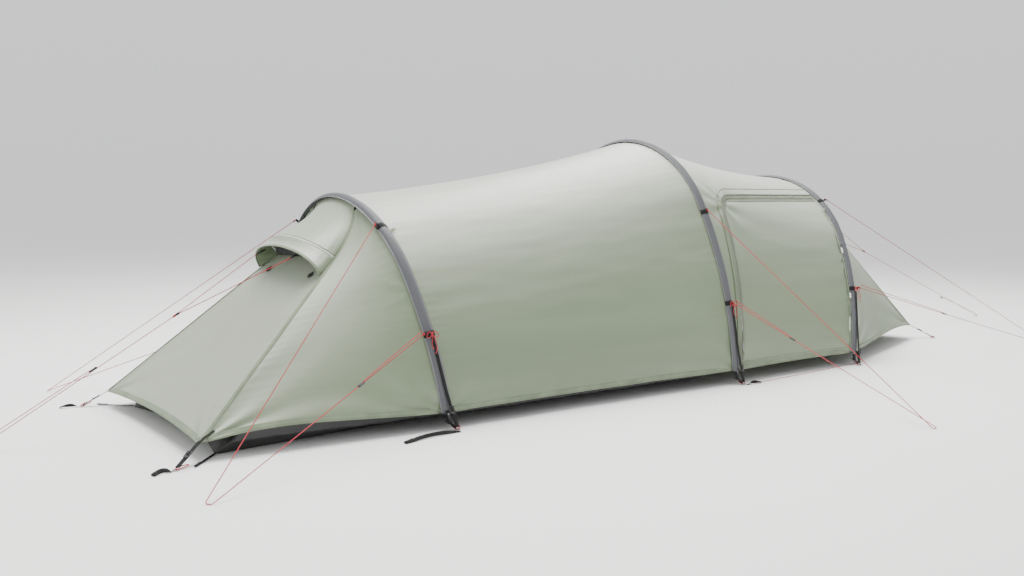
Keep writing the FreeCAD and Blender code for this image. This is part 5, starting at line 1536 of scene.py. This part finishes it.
def add_inner_tent():
    first, second = HOOPS[1], HOOPS[2]
    low, low2 = first.along_at(0.100, 1, -INNER_GAP), second.along_at(0.100, 1, -INNER_GAP)

    def canopy(a, b):
        share = 2 * b - 1
        start = first.point(share * low, -INNER_GAP, 0.025)
        finish = second.point(share * low2, -INNER_GAP, -0.070)
        return start + (finish - start) * a

    def end_wall(a, b):
        share = 2 * b - 1
        start = first.point(share * low, -INNER_GAP, 0.021)
        return start + (Vector((-1.990, 0.480 * share, 0.092)) - start) * a

    for name, surface, node, rows in (("inner_roof", canopy, "inner_canopy", 50),
                                      ("inner_foot", end_wall, "inner_end_wall", 40)):
        cloth = Cloth(surface, rows, 120, INSIDE)
        cloth.press(fold_for(cloth, 8.0, streak=0.004, pucker=0.0012, pleat=0.05, hem=()))
        piece = cloth.piece(name, "inner", "inner_cloth", [node])
    lean_dir = Vector((math.sin(second.lean), 0, math.cos(second.lean)))
    base = Vector((second.place - 0.0655, 0, 0))
    arch = [second.point(-low2 + 2 * low2 * k / 60, -INNER_GAP - 0.003, -0.066) for k in range(61)]

    def wall_surface(a, b):
        return base + lean_dir * (0.08 + a * 1.0) + Vector((0, -0.66 + 1.32 * b, 0))

    wall = Cloth(wall_surface, 90, 120, INSIDE)
    wall.press(fold_for(wall, 9.0, streak=0.003, pucker=0.0, hem=(), edges=()))
    loop = [((p.z / lean_dir.z - 0.08) / 1.0 * wall.tall, (p.y + 0.66) / 1.32 * wall.wide) for p in arch]
    low_y, high_y, low_z, high_z, corner = -0.330, 0.300, 0.130, 0.720, 0.120

    def doorway(inset):
        left, right, bottom, upper = low_y + inset, high_y - inset, low_z + inset, high_z - inset
        shape = [(left, bottom), (right, bottom), (right, upper - corner)]
        shape += [(right - corner + corner * math.cos(t), upper - corner + corner * math.sin(t))
                  for t in np.linspace(0, math.pi / 2, 9)[1:]]
        shape += [(left + corner - corner * math.sin(t), upper - corner + corner * math.cos(t))
                  for t in np.linspace(0, math.pi / 2, 9)]
        return [((z / lean_dir.z - 0.08) * wall.tall, (y + 0.66) / 1.32 * wall.wide) for y, z in shape]

    mesh, area = cut_mesh(wall, "inner_front", join_loops(loop, doorway(0.0)), 0.022)
    piece = thicken(link(mesh, "inner_front", "inner", TENT, ["inner_door_wall"]), 0.0010, 0.0)
    mesh, area = cut_mesh(wall, "inner_flap", doorway(0.003), 0.022)
    piece = thicken(link(mesh, "inner_flap", "inner", "inner_door_body", ["inner_door"]), 0.0010, 0.0)
    border = [wall.at(u / wall.tall, v / wall.wide, 0.001) for u, v in doorway(0.012)]
    border.append(border[0])
    link(ribbon_mesh("inner_door_tape", border, [Vector((0, (p.y > 0) * 2 - 1, 0)) if 0.2 < p.z < 0.62 else Z_AXIS
                                                 for p in border], 0.012, 0.0012),
         "inner_door_tape", "zip", "inner_door_body")
    hangers = []
    for hoop, shift in ((first, 0.025), (second, -0.070)):
        for along in (-0.62, -0.3, 0, 0.3, 0.62):
            high = hoop.point(along, -0.0066, 0.004 if shift > 0 else -0.004)
            low_end = hoop.point(along, -INNER_GAP + 0.001, shift)
            mid = (high + low_end) / 2 + Vector((0, 0, -0.001))
            hangers.append(ribbon_mesh("h", round_path([high, mid, low_end], 8), hoop.axes(along)[2], 0.008, 0.0014))
    joined("hanger_tapes", hangers, "webbing", ["inner_hangers"])


def join_loops(outer, hole):
    """One loop that runs round the outline, then in through a hair-thin bridge and back round the hole."""
    _, i, j = min((math.dist(p, q), i, j) for i, p in enumerate(outer) for j, q in enumerate(hole))
    ring = hole[j:] + hole[:j]
    turned = signed_area(outer) * signed_area(hole) > 0
    ring = list(reversed(ring)) if turned else ring
    first = ring[-1] if turned else ring[0]
    ring = [first] + [p for p in ring if p != first]
    eps = 0.0004
    end = (ring[0][0] + eps, ring[0][1] + eps)
    back = (outer[i][0] + eps, outer[i][1] + eps)
    return outer[:i + 1] + ring + [end, back] + outer[i + 1:]


def signed_area(loop):
    return sum(x1 * y2 - x2 * y1 for (x1, y1), (x2, y2) in zip(loop, loop[1:] + loop[:1])) / 2


def add_vents():
    """Netting under the hoods, the patches that hold the hoods shut and the tabs of the end lines."""
    for end in ENDS.values():
        half = abs(end.seam_end.y) - 0.014

        def netting(a, b, end=end, half=half):
            part = 2 * b - 1
            low = Vector((end.seam_end.x + end.face * 0.018, part * half, end.seam_end.z + 0.002))
            rise = (end.seam_apex.z - end.seam_end.z - 0.006) * math.cos(part * math.pi / 2) + 0.004
            return low + Vector((end.face * 0.55 * rise, 0, rise)) * (1 - a)

        cloth = Cloth(netting, 14, 50, (end.hoop.place, 0, 0.3))
        cloth.press(fold_for(cloth, 11.0, streak=0.001, pucker=0.0, hem=(), edges=()))
        piece = cloth.piece(end.name + "_netting", "netting", "vent_mesh", ["vent_meshes"], 0.0006)
    patches, tabs = [], []
    for end in ENDS.values():
        slope = end.seam_end - end.corner
        down = Vector((slope.x, 0, slope.z)).normalized()
        outward = Vector((-down.z * math.copysign(1, down.x), 0, abs(down.x)))
        for side in (-1, 1):
            drop = slope * -0.11
            base = sided((end.seam_end.x + drop.x, -0.190, end.seam_end.z + drop.z), side)
            turn = Matrix.Rotation(math.radians(45 if end.name == "left" else 0), 4, "Y")
            patches.append(moved(block_mesh((0.024, 0.0020, 0.024), 0.0008),
                                 axes_matrix(base + outward * 0.0024, down, outward, Vector((0, 1, 0))) @ turn))
            tip = sided(mirror_y(END_LINES[end.name][0]), side)
            root = tip + Vector((-end.face * 0.034, 0, 0.016))
            middle = (root + tip) / 2
            path = round_path([root, middle + Vector((0, 0, 0.003)), tip, middle + Vector((0, 0, -0.0015)),
                               root + Vector((0, 0, -0.002))], 10)
            tabs.append(ribbon_mesh("t", path, Vector((0, 1, 0)), 0.012, 0.0014))
    joined("hook_patches", patches, "hook", ["vent_patches"])
    joined("hood_tabs", tabs, "webbing", ["vent_tabs"])


# ---------------------------------------------------------------- small pieces on the porch
def porch_frame(cloth, x, z, lift):
    a, b = porch_at(x, z)
    spot = cloth.at(a, b, lift)
    a2, b2 = porch_at(x, z + 0.02)
    up = (cloth.at(a2, b2, lift) - spot).normalized()
    a3, b3 = porch_at(x + 0.02, z)
    ahead = (cloth.at(a3, b3, lift) - spot).normalized()
    return spot, up, ahead


def slider_meshes(spot, across, out, along):
    """A zip slider: two plates on a bridge, and a pull."""
    matrix = axes_matrix(spot, across, out, along)
    plate, core, pull = [moved(block_mesh(size, bevel), matrix @ Matrix.Translation(shift)) for size, bevel, shift in (
        ((0.009, 0.0012, 0.014), 0.0005, (0, 0.0013, 0)), ((0.004, 0.0024, 0.010), 0.0007, (0, 0.0002, 0)),
        ((0.0056, 0.0012, 0.020), 0.0005, (0, 0.0030, -0.015)))]
    bridge = [matrix @ Vector((0, 0.0016 + 0.0018 * math.sin(math.pi * k / 12), -0.005 + 0.010 * k / 12))
              for k in range(13)]
    return [plate, core, tube_mesh("s", bridge, 0.0009, 6), pull]


def pull_loop(spot, across, out, along):
    line = []
    for k in range(21):
        angle = 2 * math.pi * k / 20
        reach = -0.031 - 0.005 * (1 - math.cos(angle))
        line.append(spot + along * reach + across * 0.003 * math.sin(angle) + out * 0.0030)
    return tube_mesh("p", line, 0.0010, 6)


def add_porch_pieces(cloth):
    for name, body, x, z, way in (("zip_slider_low", "zip_low", 0.262, 0.170, "up"),
                                  ("zip_slider_top", "zip_top", 1.000, 0.833, "ahead")):
        spot, up, ahead = porch_frame(cloth, x, z, 0.0049)
        out = ahead.cross(up).normalized()
        out = out if out.y < 0 else -out
        along, across = (up, ahead) if way == "up" else (ahead, up)
        joined(name + "_metal", slider_meshes(spot, across, out, along), "slider", [name], body)
        link(pull_loop(spot, across, out, along), name + "_cord", "tab", body)
    loops = []
    for name, height in (("toggle_upper", 0.560), ("toggle_lower", 0.340)):
        low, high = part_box(name)
        middle = (low + high) / 2
        top = HOOPS[3].on(HOOPS[3].along_at(height + 0.028, -1), -0.024, 0.004)
        line = round_path([top, (top + middle) / 2 + Vector((-0.004, -0.002, 0)), middle + Vector((0, 0, 0.001)),
                           (top + middle) / 2 + Vector((0.005, -0.002, 0)), top + Vector((0.006, 0, 0))], 8)
        loops.append(tube_mesh("l", line, 0.0012, 7))
    joined("toggle_loops", loops, "black_cord")
    tabs = []
    for number, height, shift in ((3, 0.760, -0.026), (1, 0.700, 0.026)):
        own = HOOPS[number]
        along = own.along_at(height)
        spot = own.on(along, shift, 0.004)
        _, out, ahead = own.axes(along)
        path = [spot + out * 0.001 * k + own.across * math.copysign(0.004 * k, shift) for k in range(5)]
        tabs.append(ribbon_mesh("g", path, ahead, 0.014, 0.0018))
    joined("green_tabs", tabs, "tab")


CAD_LOOKS = {"hoop_1_pole": "pole", "hoop_2_pole": "pole", "hoop_3_pole": "pole", "pole_ferrules": "pole",
             "pole_cups": "plastic", "pole_shock_cords": "black_cord", "peg_rings": "ring",
             "toggle_upper": "pale_plastic", "toggle_lower": "pale_plastic"}


def dress_cad_nodes():
    for name, key in CAD_LOOKS.items():
        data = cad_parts[name].data
        data.materials.clear()
        data.materials.append(MATERIALS[key])


def add_floor():
    corners = [(x * 40, y * 40, -0.0006) for x, y in ((-1, -1), (1, -1), (1, 1), (-1, 1))]
    mesh = new_mesh("Floor", corners, [(0, 1, 2, 3)])
    floor = bpy.data.objects.new("Floor", mesh)
    floor.data.materials.append(floor_material())
    bpy.context.scene.collection.objects.link(floor)


# ---------------------------------------------------------------- build
add_camera()
add_lights()
add_floor()
add_hoop_guys()
add_end_guys()
add_base_cords()
add_main_panel()
porch_cloth = add_porch_panel()
add_zip(porch_cloth)
add_porch_seams(porch_cloth)
for end in ENDS.values():
    add_end(end)
for number in HOOPS:
    add_sleeve(number)
add_bands()
add_straps()
add_bows()
add_groundsheet()
add_inner_tent()
add_vents()
add_porch_pieces(porch_cloth)
dress_cad_nodes()
